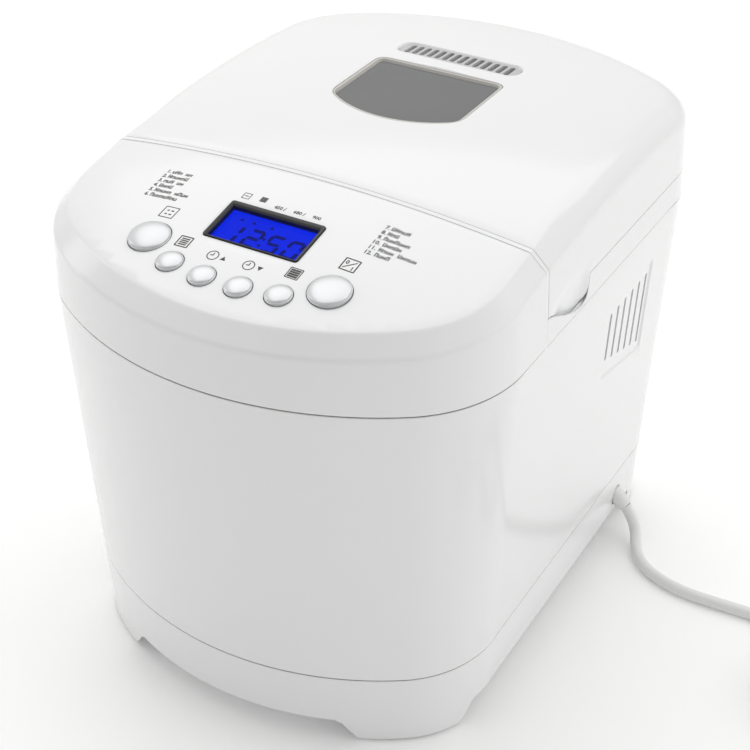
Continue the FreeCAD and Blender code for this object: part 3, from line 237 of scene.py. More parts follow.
zinc = speckled("zinc_plate", (0.5, 0.51, 0.53), (0.62, 0.63, 0.66), 0.45, 260.0, 0.85, 0.35)
aluminium = brushed("cast_aluminium", (0.66, 0.66, 0.67), 0.42, (1, 1, 1), 0.95, 0.08)
element_metal = brushed("heat_darkened_steel", (0.2, 0.185, 0.175), 0.5, (1, 1, 6), 0.8, 0.3)
brass = brushed("plain_brass", (0.72, 0.56, 0.27), 0.36, (1, 1, 20), 1.0, 0.1)
dark_coating = speckled("non_stick_coating", (0.05, 0.05, 0.054), (0.2, 0.2, 0.21), 0.38)
circuit_green = speckled("circuit_board", (0.03, 0.16, 0.07), (0.5, 0.42, 0.2), 0.4, 420.0, 0.0, 0.2)
clear_glass = glazing("clear_pane", (0.5, 0.55, 0.6), 0.1, 0.05)
display_glass = glazing("clear_display_pane", (0.0, 0.0, 0.02), 0.1, 0.22, Specular_IOR_Level=0.12)
smoked_glass = glazing("smoked_window_pane", (0.17, 0.172, 0.178), 0.84, 0.16)
window_grey = moulded("warm_grey_trim", (0.56, 0.54, 0.51), 0.35, 0.03, 1800.0)
grille_grey = moulded("grille_grey_plastic", (0.5, 0.5, 0.51), 0.4, 0.04, 1800.0)
print_dark = moulded("printed_dark_ink", (0.035, 0.032, 0.032), 0.45, 0.06, 2500.0)


def lit_display(name, colour, glow):
    """Back-lit liquid crystal: an even glow that drifts a little in strength from place to place."""
    finish = Finish(name, colour, 0.5, Emission_Strength=glow, Specular_IOR_Level=0.05)
    cloud = finish.noise(60.0, 2.0)
    finish.set("Emission Color", finish.blend(cloud, shade(colour, 0.85), shade(colour, 1.1)))
    finish.set("Base Color", finish.blend(cloud, (0, 0, 0.02), (0, 0, 0.05)))
    return finish.material


lcd_blue = lit_display("lit_blue_display", (0.0, 0.022, 1.0), 0.95)
lcd_dark = lit_display("display_segments", (0.0, 0.01, 0.3), 0.6)

FINISHES = {
    "white_gloss": white_gloss, "light_grey": light_grey, "silver_grey": silver_grey,
    "black_plastic": black_plastic, "rubber": rubber, "cord_white": cord_white, "steel": steel,
    "zinc": zinc, "aluminium": aluminium, "dark_coating": dark_coating,
    "element_metal": element_metal, "seal": seal_grey, "clear_glass": clear_glass,
    "smoked_glass": smoked_glass, "lcd_blue": lcd_blue, "circuit_green": circuit_green,
    "belt": belt_rubber, "brass": brass,
}


# ---------------------------------------------------------------- surface kit
BEVEL_ANGLE = 40.0


def raw_mesh(points, faces):
    """Mesh from points in millimetres and faces as an index array or a list."""
    mesh = bpy.data.meshes.new("form")
    mesh.from_pydata((np.asarray(points) * MM).tolist(), [], [list(map(int, face)) for face in faces])
    return mesh


def finished_mesh(holder):
    """Mesh of an object as its modifiers leave it; the object goes."""
    bpy.context.view_layer.update()
    mesh = bpy.data.meshes.new_from_object(holder.evaluated_get(bpy.context.evaluated_depsgraph_get()))
    bpy.data.objects.remove(holder)
    return mesh


def solid(points, faces, wall=0.0, bevel=0.0, merge=0.002, outward=True):
    """Mesh with its doubles merged, its faces turned outwards, a wall grown
    inwards from it, and its sharp edges bevelled."""
    mesh = raw_mesh(points, faces)
    form = bmesh.new()
    form.from_mesh(mesh)
    bmesh.ops.remove_doubles(form, verts=form.verts, dist=merge * MM)
    bmesh.ops.dissolve_degenerate(form, edges=form.edges, dist=0.0002 * MM)
    if outward:
        bmesh.ops.recalc_face_normals(form, faces=form.faces)
    form.to_mesh(mesh)
    form.free()
    if not wall and not bevel:
        return mesh
    holder = bpy.data.objects.new("holder", mesh)
    scene.collection.objects.link(holder)
    if wall:
        shell = holder.modifiers.new("wall", "SOLIDIFY")
        shell.thickness = wall * MM
        shell.offset = -1.0
        shell.use_even_offset = False
    if bevel:
        soften = holder.modifiers.new("edges", "BEVEL")
        soften.width = bevel * MM
        soften.segments = 2
        soften.limit_method = "ANGLE"
        soften.angle_limit = math.radians(BEVEL_ANGLE)
        soften.use_clamp_overlap = True
    return finished_mesh(holder)


def piece(name, meshes, material, body, replaces=(), sharp=35.0):
    """Object made of one or more meshes, shaded smooth except over sharp edges."""
    form = bmesh.new()
    for mesh in meshes:
        form.from_mesh(mesh)
    mesh = bpy.data.meshes.new(name)
    form.to_mesh(mesh)
    form.free()
    mesh.materials.clear()
    mesh.materials.append(material)
    mesh.shade_smooth()
    mesh.set_sharp_from_angle(angle=math.radians(sharp))
    item = bpy.data.objects.new(name, mesh)
    scene.collection.objects.link(item)
    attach(item, body)
    if replaces:
        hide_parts(*replaces)
    return item


def grid_faces(rows, columns, wrap=False):
    """Quads of a grid whose points run row by row; wrap closes each row."""
    across = columns if wrap else columns - 1
    row, column = np.meshgrid(np.arange(rows - 1), np.arange(across), indexing="ij")
    following = (column + 1) % columns
    corners = [row * columns + column, row * columns + following]
    corners += [(row + 1) * columns + following, (row + 1) * columns + column]
    return np.stack([corner.ravel() for corner in corners], axis=1)


def joined(*parts):
    """One set of points and faces from several."""
    points = []
    faces = []
    start = 0
    for more_points, more_faces in parts:
        points.append(np.asarray(more_points, float))
        faces += [[int(index) + start for index in face] for face in more_faces]
        start += len(more_points)
    return np.concatenate(points), faces


def lofted(loops, wrap=True, closed=False, capped=False):
    """Surface through loops of equal length; closed joins the last loop to the
    first, and capped fills the first and the last with a fan about its middle."""
    loops = [np.asarray(loop, float) for loop in loops]
    if closed:
        loops.append(loops[0])
    count = len(loops[0])
    parts = [(np.concatenate(loops), grid_faces(len(loops), count, wrap))]
    if capped:
        for loop in (loops[0], loops[-1]):
            points = np.concatenate([loop, loop.mean(0)[None]])
            first = np.arange(count)
            fan = np.stack([first, (first + 1) % count, np.full(count, count)], axis=1)
            parts.append((points, fan))
    return joined(*parts)


def frame_at(origin, way, side=(1, 0, 0)):
    """Origin and three axes: the third along way, the first nearest to side."""
    third = np.asarray(way, float) / np.linalg.norm(way)
    first = np.asarray(side, float) - third * np.dot(side, third)
    first = first / np.linalg.norm(first)
    return np.asarray(origin, float), first, np.cross(third, first), third


def placed(local, place):
    """Local points taken to the machine's frame."""
    origin, first, second, third = place
    local = np.asarray(local, float)
    return origin + local[:, :1] * first + local[:, 1:2] * second + local[:, 2:3] * third


def revolved(profile, place, count=64):
    """Profile of (radius, height) turned once about the third axis of a place;
    ends on the axis close as poles."""
    return lofted([placed(raised(circle(radius, count), height), place) for radius, height in profile])


def upright_at(x, y, z=0.0):
    """Place on a vertical axis."""
    return frame_at((x, y, z), (0, 0, 1))


def drum(radius, low, high):
    """Profile of a plain closed cylinder."""
    return [(0, low), (radius, low), (radius, high), (0, high)]


def circle(radius, count=48):
    turn = np.linspace(0, 2 * math.pi, count, endpoint=False)
    return np.stack([radius * np.cos(turn), radius * np.sin(turn)], axis=1)


def raised(loop, height):
    """Flat loop lifted to one height, or to a height for each of its points."""
    return np.column_stack([loop, np.broadcast_to(np.asarray(height, float), (len(loop),))])


def rounded_loop(half_x, half_y, corner, middle=(0, 0), steps=8):
    """Rounded rectangle: four quarter arcs about their own centres."""
    turn = np.linspace(0, math.pi / 2, steps)
    arcs = []
    for quarter, (sx, sy) in enumerate(((1, 1), (-1, 1), (-1, -1), (1, -1))):
        angle = turn + quarter * math.pi / 2
        x = middle[0] + sx * (half_x - corner) + corner * np.cos(angle)
        y = middle[1] + sy * (half_y - corner) + corner * np.sin(angle)
        arcs.append(np.stack([x, y], axis=1))
    return np.concatenate(arcs)


def slot_loop(x0, x1, y0, y1, steps=6):
    """Slot with half-round ends along its longer direction."""
    half_x = (x1 - x0) / 2
    half_y = (y1 - y0) / 2
    return rounded_loop(half_x, half_y, min(half_x, half_y) * 0.98, ((x0 + x1) / 2, (y0 + y1) / 2), steps)


def within(points, loop):
    """Which points lie inside a loop: an odd number of its edges lies to the right."""
    x, y = points[:, 0][:, None], points[:, 1][:, None]
    x1, y1 = loop[:, 0][None], loop[:, 1][None]
    x2, y2 = np.roll(loop[:, 0], -1)[None], np.roll(loop[:, 1], -1)[None]
    spans = (y1 > y) != (y2 > y)
    level = np.where(y2 == y1, 1e-9, y2 - y1)
    crossing = x1 + (y - y1) * (x2 - x1) / level
    return (np.sum(spans & (x < crossing), axis=1) % 2) == 1


def flat_domain(outline, holes=(), loose=(), spacing=5.0, clearance=1.6):
    """Triangles that fill an outline round its holes, with an even grid of
    points inside; loose loops add rows of points."""
    loops = [np.asarray(outline, float)] + [np.asarray(hole, float) for hole in holes]
    edge_points = np.concatenate(loops)
    edges = []
    start = 0
    for loop in loops:
        index = np.arange(len(loop))
        edges += np.stack([index + start, (index + 1) % len(loop) + start], axis=1).tolist()
        start += len(loop)
    low = loops[0].min(0)
    high = loops[0].max(0)
    counts = np.maximum(((high - low) / spacing).astype(int), 1)
    across, along = np.meshgrid(*(np.linspace(low[i], high[i], counts[i] + 1) for i in (0, 1)), indexing="ij")
    grid = np.stack([across.ravel(), along.ravel()], axis=1)
    extra = [np.asarray(loop, float) for loop in loose]
    keep_off = np.concatenate([edge_points, *extra])
    grid = grid[within(grid, loops[0])]
    for hole in loops[1:]:
        grid = grid[~within(grid, hole)]
    if len(grid):
        gap = np.min(np.linalg.norm(grid[:, None, :] - keep_off[None], axis=2), axis=1)
        grid = grid[gap > clearance]
    points = np.concatenate([edge_points, *extra, grid])
    found = delaunay_2d_cdt([Vector(p) for p in points.tolist()], edges, [], 0, 1e-6)
    flat = np.array([tuple(p) for p in found[0]])
    faces = np.array([face for face in found[2] if len(face) == 3])
    middles = flat[faces].mean(1)
    keep = within(middles, loops[0])
    for hole in loops[1:]:
        keep &= ~within(middles, hole)
    return flat, faces[keep]


def tube(path, radius, sides=16, ends=True):
    """Round tube: rings square to the path's direction at each of its points."""
    path = np.asarray(path, float)
    way = np.gradient(path, axis=0)
    way /= np.linalg.norm(way, axis=1)[:, None]
    side = np.cross(way, (0.13, 0.21, 0.97))
    side /= np.linalg.norm(side, axis=1)[:, None]
    other = np.cross(way, side)
    turn = np.linspace(0, 2 * math.pi, sides, endpoint=False)[:, None]
    rings = path[:, None] + radius * (side[:, None] * np.cos(turn) + other[:, None] * np.sin(turn))
    return lofted(list(rings), capped=ends)


def line_between(first, last, spacing):
    """Points between two ends, without the ends."""
    count = max(int(np.linalg.norm(np.subtract(last, first)) / spacing), 1)
    shares = np.linspace(0, 1, count + 1)[1:-1, None]
    return np.asarray(first) + (np.asarray(last) - np.asarray(first)) * shares


def smooth_step(value, low, high):
    """Eased share of the way from low to high."""
    share = np.clip((value - low) / (high - low), 0, 1)
    return share * share * (3 - 2 * share)


def conic(first, corner, last, share):
    """Quadratic curve from first to last, pulled towards a corner."""
    return (1 - share) ** 2 * first + 2 * share * (1 - share) * corner + share ** 2 * last


def rounded_corner(before, corner, after, radius, steps):
    """Curve across a corner, tangent to the runs that meet in it."""
    first = corner + (before - corner) / np.linalg.norm(before - corner) * radius
    last = corner + (after - corner) / np.linalg.norm(after - corner) * radius
    return conic(first, corner, last, np.linspace(0, 1, steps)[:, None])


def rounded_path(corners, radius, steps=8):
    """Open path through corners, each rounded."""
    corners = np.asarray(corners, float)
    bends = [rounded_corner(*three, radius, steps) for three in zip(corners, corners[1:], corners[2:])]
    return np.concatenate([corners[:1], *bends, corners[-1:]])


def polygon_loop(corners, radius, spacing=3.0, steps=6):
    """Closed polygon with rounded corners and points along its sides."""
    corners = np.asarray(corners, float)
    around = zip(np.roll(corners, 1, 0), corners, np.roll(corners, -1, 0))
    bends = [rounded_corner(*three, radius, steps) for three in around]
    runs = []
    for bend, following in zip(bends, bends[1:] + bends[:1]):
        runs += [bend, line_between(bend[-1], following[0], spacing)]
    return np.concatenate(runs)


# ---------------------------------------------------------------- mains lead
CORD_RADIUS = 3.25
SIDE_X = 121.0
EXIT = (119.756, 75.278, 19.675)
SLEEVE_WAY = (0.8022, -0.0802, -0.5916)
LEAD = (
    (4.2, 74.2, 13.4), (8.2, 70.6, 7.4), (11.2, 64.2, 4.0), (15.6, 56.2, 3.5), (23.5, 48.6, 3.3),
    (35.5, 43.0, 3.5), (51.0, 40.4, 3.3), (69.0, 41.2, 3.5), (90.5, 42.8, 3.3), (112.5, 42.3, 3.5),
    (134.0, 40.6, 3.3),
)
TAIL = (
    (176.6, -25.6, 9.9), (168.6, -34.6, 10.4), (163.4, -45.6, 12.6), (160.6, -57.6, 15.8),
    (159.6, -68.6, 18.0),
)
COIL_MIDDLE = np.array([270.0, 2.5])
COIL_START = math.radians(78)
COIL_TURNS = ((39.0, 3.4), (32.6, 3.4), (32.6, 9.9), (39.0, 9.9), (39.0, 9.9))
STEPS_PER_TURN = 16
LAST_STEPS = 5
TURN_CHANGE = 0.75


def coil_points():
    """Four turns, clockwise from the side where the lead arrives: two on the
    floor, then two on top of them, each easing into the next over its last
    quarter, and a third of a turn more to where the tail leaves."""
    places = []
    for index, (radius, level) in enumerate(COIL_TURNS):
        last = index == len(COIL_TURNS) - 1
        next_radius, next_level = COIL_TURNS[index if last else index + 1]
        for step in range(LAST_STEPS if last else STEPS_PER_TURN):
            share = step / STEPS_PER_TURN
            ease = smooth_step(share, TURN_CHANGE, 1)
            angle = COIL_START - 2 * math.pi * (index + share)
            reach = radius + (next_radius - radius) * ease
            x, y = COIL_MIDDLE + reach * np.array([math.cos(angle), math.sin(angle)])
            places.append((x, y, level + (next_level - level) * ease))
    return places


def open_spline(name, places, radius):
    """Cord through one open smooth spline."""
    curve = bpy.data.curves.new(name, "CURVE")
    curve.dimensions = "3D"
    curve.bevel_depth = radius * MM
    curve.bevel_resolution = 5
    curve.resolution_u = 5
    curve.use_fill_caps = True
    spline = curve.splines.new("NURBS")
    spline.points.add(len(places) - 1)
    for point, place in zip(spline.points, places):
        point.co = (*(value * MM for value in place), 1)
    spline.order_u = 3
    spline.use_endpoint_u = True
    cord = bpy.data.objects.new(name, curve)
    scene.collection.objects.link(cord)
    return cord


lead = [EXIT] + [(SIDE_X + x, y, z) for x, y, z in LEAD]
tail = [(SIDE_X + x, y, z) for x, y, z in TAIL]
cord = open_spline("mains_cord", lead + coil_points() + tail, CORD_RADIUS)
cord.data.materials.append(cord_white)
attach(cord, "machine")
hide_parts("power_cord", "cord_coil")


SLEEVE_LENGTH = 26.0


def relief_profile():
    """Taper from the collar to the tip, with four shallow grooves inside the wall."""
    profile = [(0, -0.2), (7.4, -0.2), (8.0, 0.4), (8.0, 2.4), (7.5, 3.0), (6.1, 3.2)]
    for groove in range(4):
        start = 6.0 + groove * 2.5
        radius = 6.0 - 1.6 * start / SLEEVE_LENGTH
        for inward, along in ((0, 0), (0.75, 0.35), (0.8, 1.0), (0.15, 1.4)):
            profile.append((radius - inward, start + along))
    profile += [(5.0, 16.5), (4.7, 20.0), (4.35, 24.0), (3.9, 25.6), (3.3, 26.1), (0, 26.1)]
    return profile


relief_place = frame_at(np.array(EXIT) - np.array(SLEEVE_WAY) * SLEEVE_LENGTH, SLEEVE_WAY, (0, 1, 0))
piece("cord_sleeve", [solid(*revolved(relief_profile(), relief_place))], cord_white, "machine",
      ["cord_relief"], 30)

plug_root = np.array(tail[-1])
plug_way = np.array(tail[-1]) - np.array(tail[-2])
plug_way[2] = 0
plug_place = frame_at(plug_root, plug_way, (0, 0, 1))


PLUG_NECK = (
    (0.0, 3.6), (0.2, 4.4), (3.0, 4.7), (3.5, 4.0), (5.0, 4.0), (5.5, 5.0), (8.0, 5.3), (8.5, 4.5),
    (10.0, 4.6), (10.5, 5.8),
)
PLUG_GRIP = (
    (14.0, 6.6, 0.1), (17.0, 9.2, 0.5), (21.0, 13.2, 0.9), (25.0, 15.4, 1.0), (31.0, 15.4, 1.0),
    (35.0, 15.8, 0.7), (38.0, 17.2, 0.2),
)
PLUG_FACE = ((40.0, 17.5), (46.0, 17.5), (47.4, 17.0), (48.0, 16.0), (48.0, 14.4), (45.0, 14.0))


def plug_loops(count=56):
    """Moulded plug: a ribbed neck that swells into a grip with two flats, then a
    round face; a ring is a circle whose width falls by up to a quarter with the
    cube of the cosine of its angle."""
    turn = np.linspace(0, 2 * math.pi, count, endpoint=False)
    loops = []
    for along, radius, *grip in PLUG_NECK + PLUG_GRIP + PLUG_FACE:
        flat = 1 - sum(grip) * 0.26 * np.abs(np.cos(turn)) ** 3
        ring = np.stack([radius * flat * np.cos(turn), radius * np.sin(turn), np.full(count, along)], axis=1)
        loops.append(placed(ring, plug_place))
    return loops


PIN_OFFSET = 9.5


def pin_profile():
    """Round pin with an eased tip."""
    return [(0, 44.0), (2.4, 44.0), (2.4, 65.6), (1.9, 66.6), (1.2, 67.0), (0, 67.0)]


plug = piece("mains_plug", [solid(*lofted(plug_loops(), capped=True))], cord_white, "machine",
             ["cord_plug"], 30)
pin_places = [(plug_root + plug_place[2] * offset, *plug_place[1:]) for offset in (-PIN_OFFSET, PIN_OFFSET)]
pin_meshes = [solid(*revolved(pin_profile(), place, 24)) for place in pin_places]
pins = piece("plug_pins", pin_meshes, steel, "machine")


# ---------------------------------------------------------------- casing plan
SEAM = 206.0
SKIRT_TOP = 43.5
LID_SEAM = 221.0
HALF_GAP = 0.22
LEAN = 0.044
WALL = 2.6
EASED_EDGE = 0.35
LIP_DEPTH = 6.0
SKIN_BEVEL = 0.18
PANEL_EDGE = -58.3
LID_FRONT = -58.0
TAB_GAP = 0.5
DISH_DEPTH = 2.4
TAB_REAR = -12.6
TAB_EDGE_FRONT = (
    (LID_FRONT, 220.9), (-55.0, 220.4), (-52.0, 219.3), (-48.0, 217.4), (-44.0, 215.4), (-40.0, 213.5),
    (-36.0, 211.8), (-32.0, 210.3), (-28.0, 209.1), (-24.0, 208.3),
)
TAB_EDGE_ROUND = (
    (-21.0, 208.0), (-18.0, 208.5), (-16.0, 209.6), (-14.6, 211.4), (-13.6, 214.0), (-12.9, 217.8),
    (TAB_REAR, LID_SEAM),
)
DOME_TOP = 267.5
DOME_PEAK_Y = 35.0
LENGTH_ARC = 715.0
WIDTH_ARC = 850.0
SIDE_FRONT = -83.59
SIDE_REAR = 96.8
FRONT_RADIUS = 166
FRONT_TURN = 56.03
CORNER_RADIUS = 64
REAR_CORNER_RADIUS = 51
REAR_RADIUS = 202
REAR_TURN = 62.4
HINGE_NOTCH = 68.0
HINGE_NOTCH_TOP = 241.0


def plan_half():
    """Right half of the plan as points and outward normals: a wide front arc, a
    corner arc, a straight side, a corner arc and a wide rear arc."""
    points = []
    normals = []

    def arc(middle, radius, angles):
        angles = np.radians(angles)
        normal = np.stack([np.cos(angles), np.sin(angles)], axis=1)
        points.append(np.array(middle) + radius * normal)
        normals.append(normal)

    arc((0, 1), FRONT_RADIUS, np.linspace(-90, -FRONT_TURN, 26))
    arc((57, SIDE_FRONT), CORNER_RADIUS, np.linspace(-FRONT_TURN, 0, 26)[1:])
    side = np.linspace(SIDE_FRONT, SIDE_REAR, 46)[1:-1]
    marks = np.array([PANEL_EDGE, LID_FRONT, -16.0, -14.6, -13.6, -12.9, -12.6, -12.2, -11.8])
    side = side[np.min(np.abs(side[:, None] - marks[None]), axis=1) > 1.2]
    side = np.sort(np.concatenate([side, marks]))
    points.append(np.stack([np.full(len(side), SIDE_X), side], axis=1))
    normals.append(np.tile([1.0, 0.0], (len(side), 1)))
    arc((70, SIDE_REAR), REAR_CORNER_RADIUS, np.linspace(0, REAR_TURN, 26))
    notch = np.degrees(np.arccos(np.array([HINGE_NOTCH + 0.2, HINGE_NOTCH - 0.2]) / REAR_RADIUS))
    arc((0, -37), REAR_RADIUS, np.sort(np.concatenate([np.linspace(REAR_TURN, 90, 24)[1:], notch])))
    return np.concatenate(points), np.concatenate(normals)


half_points, half_normals = plan_half()
flip = np.array([-1.0, 1.0])
plan = np.concatenate([half_points, (half_points * flip)[::-1][1:-1]])
plan_normals = np.concatenate([half_normals, (half_normals * flip)[::-1][1:-1]])
everywhere = np.arange(len(plan))


def inset(height):
    """The walls lean in from the seam both ways."""
    return np.abs(np.asarray(height, float) - SEAM) * LEAN


def dome(x, y):
    """Height of the top: an arc across, turned about an axis along X."""
    across = LENGTH_ARC - WIDTH_ARC + np.sqrt(WIDTH_ARC ** 2 - np.asarray(x, float) ** 2)
    return DOME_TOP - LENGTH_ARC + np.sqrt(across ** 2 - (np.asarray(y, float) - DOME_PEAK_Y) ** 2)


def at(columns, height, extra=0.0):
    """Points of the wall in chosen columns at a height, moved in by extra."""
    height = np.broadcast_to(np.asarray(height, float), (len(columns),))
    reach = (inset(height) + extra)[:, None]
    flat = plan[columns] - plan_normals[columns] * reach
    return np.concatenate([flat, height[:, None]], axis=1)


def edge_rows(columns):
    """Rows from the wall's top over the shoulder to the dome.  The shoulder is a
    flat slope in front; behind the lid seam it turns into a full round."""
    y = plan[columns][:, 1]
    crisp = 1 - smooth_step(y, -62.0, 0.0)
    corner = np.full(len(columns), 240.0)
    for _ in range(12):
        spot = at(columns, corner)
        corner = dome(spot[:, 0], spot[:, 1])
    top = at(columns, corner)
    low = at(columns, corner - (9.0 - 2.0 * crisp))
    high = at(columns, corner, 13.0 - 5.0 * crisp)
    high[:, 2] = dome(high[:, 0], high[:, 1])
    middle = (low + high) / 2
    control = middle + 0.8 * (top - middle)
    rows = [at(columns, low[:, 2] - 2.5), at(columns, low[:, 2] - 0.7)]
    for t in (0.06, 0.16, 0.28, 0.4, 0.52, 0.64, 0.76, 0.88, 0.95):
        curve = conic(low, control, high, t)
        straight = (1 - t) * low + t * high
        rows.append(curve + (straight - curve) * crisp[:, None])
    beyond = at(columns, corner, 13.6 - 5.0 * crisp)
    beyond[:, 2] = dome(beyond[:, 0], beyond[:, 1])
    rows.append(beyond)
    return rows


def wall_rows(columns, low, high, count):
    """Rows of the wall between two heights, which may vary by column."""
    low = np.broadcast_to(np.asarray(low, float), (len(columns),))
    high = np.broadcast_to(np.asarray(high, float), (len(columns),))
    return [at(columns, low + (high - low) * share) for share in np.linspace(0, 1, count)]


def band(columns, rows, wrap):
    return np.concatenate(rows), grid_faces(len(rows), len(columns), wrap)


def locating_lip(seam):
    """Band inside a seam that holds one casing ring in line with the next."""
    rows = [at(everywhere, height, WALL + 0.15) for height in (seam - LIP_DEPTH, seam + 2.0)]
    return solid(*band(everywhere, rows, True), wall=1.8)


def top_sheet(rim, openings, spacing=5.5):
    """Dome over the area inside a rim, round its openings; each opening is
    (edge loop, loops outside it)."""
    holes = [opening[0] for opening in openings]
    loose = [loop for opening in openings for loop in opening[1]]
    flat, faces = flat_domain(rim, holes, loose, spacing)
    return raised(flat, dome(flat[:, 0], flat[:, 1])), faces


# ---------------------------------------------------------------- deck openings
TILT = math.radians(11.1)
DISPLAY_Y = -102.6
panel_origin = np.array([0, DISPLAY_Y, float(dome(0, DISPLAY_Y))])
panel_up = np.array([0, math.cos(TILT), math.sin(TILT)])
panel_out = np.array([0, -math.sin(TILT), math.cos(TILT)])
PANEL = (panel_origin, np.array([1.0, 0, 0]), panel_up, panel_out)
BUTTONS = (
    ("button_menu", -47.4, -124.4, 10.0), ("button_size", -28.5, -135.4, 6.4),
    ("button_time_up", -9.5, -138.1, 6.4), ("button_time_down", 9.5, -138.1, 6.4),
    ("button_crust", 28.5, -135.4, 6.4), ("button_start_stop", 47.4, -124.4, 10.0),
)


def tilted_loop(local, seat):
    """Plan of a loop square to the tilted deck, where it meets the deck's height."""
    return placed(raised(local, 0.0), (np.asarray(seat), *PANEL[1:]))[:, :2]


def seat_of(x, y):
    return np.array([x, y, float(dome(x, y))])


DISPLAY_HALF = (25.0, 13.0)
BUTTON_FIT = 0.3


def opening(loops, seat):
    """Hole in the deck: its edge, and a row of points outside it."""
    edge, outside = (tilted_loop(loop, seat) for loop in loops)
    return edge, [outside]


deck_openings = [opening([
    rounded_loop(DISPLAY_HALF[0] + 0.2, DISPLAY_HALF[1] + 0.2, 1.6, steps=5),
    rounded_loop(DISPLAY_HALF[0] + 1.0, DISPLAY_HALF[1] + 1.0, 2.4, steps=5),
], panel_origin)]
for _, x, y, radius in BUTTONS:
    bore = radius + BUTTON_FIT
    deck_openings.append(opening([circle(bore), circle(bore + 1.0)], seat_of(x, y)))


WINDOW_HALF = 36.75
WINDOW_BACK = 64.5
WINDOW_SIDE = 15.0
WINDOW_CORNER = 5.0


def window_loop(grow, steps=7):
    """Window plan: straight back and sides, a bowed front, and rounded corners."""
    half = WINDOW_HALF + grow
    back = WINDOW_BACK + grow
    side = WINDOW_SIDE
    tip = -grow
    corner = max(WINDOW_CORNER + grow, 1.5)
    radius = (half ** 2 + (side - tip) ** 2) / (2 * (side - tip))
    middle_y = tip + radius
    reach = math.asin(half / radius)
    stop = reach - corner * 1.1 / radius
    bow = np.linspace(-stop, stop, 30)
    front = np.stack([radius * np.sin(bow), middle_y - radius * np.cos(bow)], axis=1)
    rise = np.array([half, side + corner * 1.1])
    right = conic(front[-1], np.array([half, side]), rise, np.linspace(0, 1, steps)[1:, None])
    angle = np.linspace(0, math.pi / 2, steps)
    rear = np.stack([half - corner + corner * np.cos(angle), back - corner + corner * np.sin(angle)], axis=1)
    right = np.concatenate([right, rear])
    return np.concatenate([front, right, (right * flip)[::-1]])


GRILLE_Y = 84.0
GRILLE_HALF = (34.5, 7.0)
GRILLE_CORNER = 5.5


def grille_loop(grow):
    return rounded_loop(GRILLE_HALF[0] + grow, GRILLE_HALF[1] + grow, GRILLE_CORNER + grow, (0.0, GRILLE_Y))


def on_dome(loop, below=0.0):
    return raised(loop, dome(loop[:, 0], loop[:, 1]) - below)


# ---------------------------------------------------------------- upper housing
front_columns = everywhere[plan[:, 1] <= PANEL_EDGE + 0.01]
from_left = np.where(plan[front_columns, 0] < 0, front_columns - len(plan), front_columns)
front_columns = front_columns[np.argsort(from_left)]
shoulder = edge_rows(front_columns)
low_front = SEAM + HALF_GAP
foot_rows = [at(front_columns, low_front, EASED_EDGE), at(front_columns, low_front + EASED_EDGE)]
front_wall = foot_rows + wall_rows(front_columns, low_front + 1.5, shoulder[0][:, 2], 7)[:-1] + shoulder


def skinned(columns, rows, openings):
    """Wall rows with the dome over them, closed by a straight line across."""
    rim = rows[-1]
    across = line_between(rim[-1, :2], rim[0, :2], 4.0)
    dome_part = top_sheet(np.concatenate([rim[:, :2], across]), openings)
    return joined(band(columns, rows, False), dome_part)


deck_skin = skinned(front_columns, front_wall, deck_openings)
housing_meshes = [solid(*deck_skin, wall=WALL, bevel=SKIN_BEVEL)]


def cross_wall(y, column, floor, thick):
    """Flat wall across the casing at y, under the section that starts in one
    column of the plan's right side."""
    edge = edge_rows(column)
    rows = wall_rows(column, floor, edge[0][:, 2], 8)[:-1] + edge
    right = np.array([row[-1] for row in rows])
    crossing = line_between(right[-1, :2], right[-1, :2] * flip, 4.0)
    middle = raised(crossing, dome(crossing[:, 0], np.full(len(crossing), y)))
    left = (right * np.array([-1, 1, 1]))[::-1]
    upper = np.concatenate([right, middle, left])
    upper[:, 0] *= 0.9995
    upper[:, 1] = y
    lower = upper.copy()
    lower[:, 2] = np.minimum(floor, upper[:, 2])
    back = np.array([0, thick, 0])
    return lofted([upper, lower, lower + back, upper + back], wrap=False, closed=True)


housing_meshes.append(solid(*cross_wall(PANEL_EDGE - 0.05, front_columns[-1:], low_front, -WALL), merge=0.01))

rear_columns = everywhere[plan[:, 1] >= PANEL_EDGE - 0.01]
collar_y = plan[rear_columns, 1]
collar_top = np.full(len(rear_columns), LID_SEAM - HALF_GAP)
tab_edge = np.array(TAB_EDGE_FRONT + TAB_EDGE_ROUND)
back_gap = np.concatenate([np.zeros(len(TAB_EDGE_FRONT)), np.full(len(TAB_EDGE_ROUND), TAB_GAP / 2)])
notch_edge = tab_edge + np.column_stack([back_gap, np.full(len(tab_edge), -0.45)])
under_tab = collar_y < TAB_REAR + TAB_GAP
notch_curve = np.interp(collar_y, notch_edge[:, 0], notch_edge[:, 1])
collar_top[under_tab] = np.minimum(notch_curve, collar_top)[under_tab]
collar_rows = [at(rear_columns, low_front, EASED_EDGE), at(rear_columns, low_front + EASED_EDGE)]
collar_rows += wall_rows(rear_columns, low_front + 1.2, collar_top - EASED_EDGE, 5)
collar_rows.append(at(rear_columns, collar_top, 0.3))
housing_meshes.append(solid(*band(rear_columns, collar_rows, False), wall=WALL - 0.1))
behind_tab = (plan[:, 1] > PANEL_EDGE - 1) & (plan[:, 1] < -7.0)
for side in (-1, 1):
    behind = everywhere[behind_tab & (plan[:, 0] * side > 100)]
    backing = [at(behind, height, WALL + 0.1) for height in (low_front, LID_SEAM - HALF_GAP)]
    housing_meshes.append(solid(*band(behind, backing, False), wall=3.2, outward=False))
housing_meshes.append(locating_lip(low_front))
BOARD_DROP = 12.0
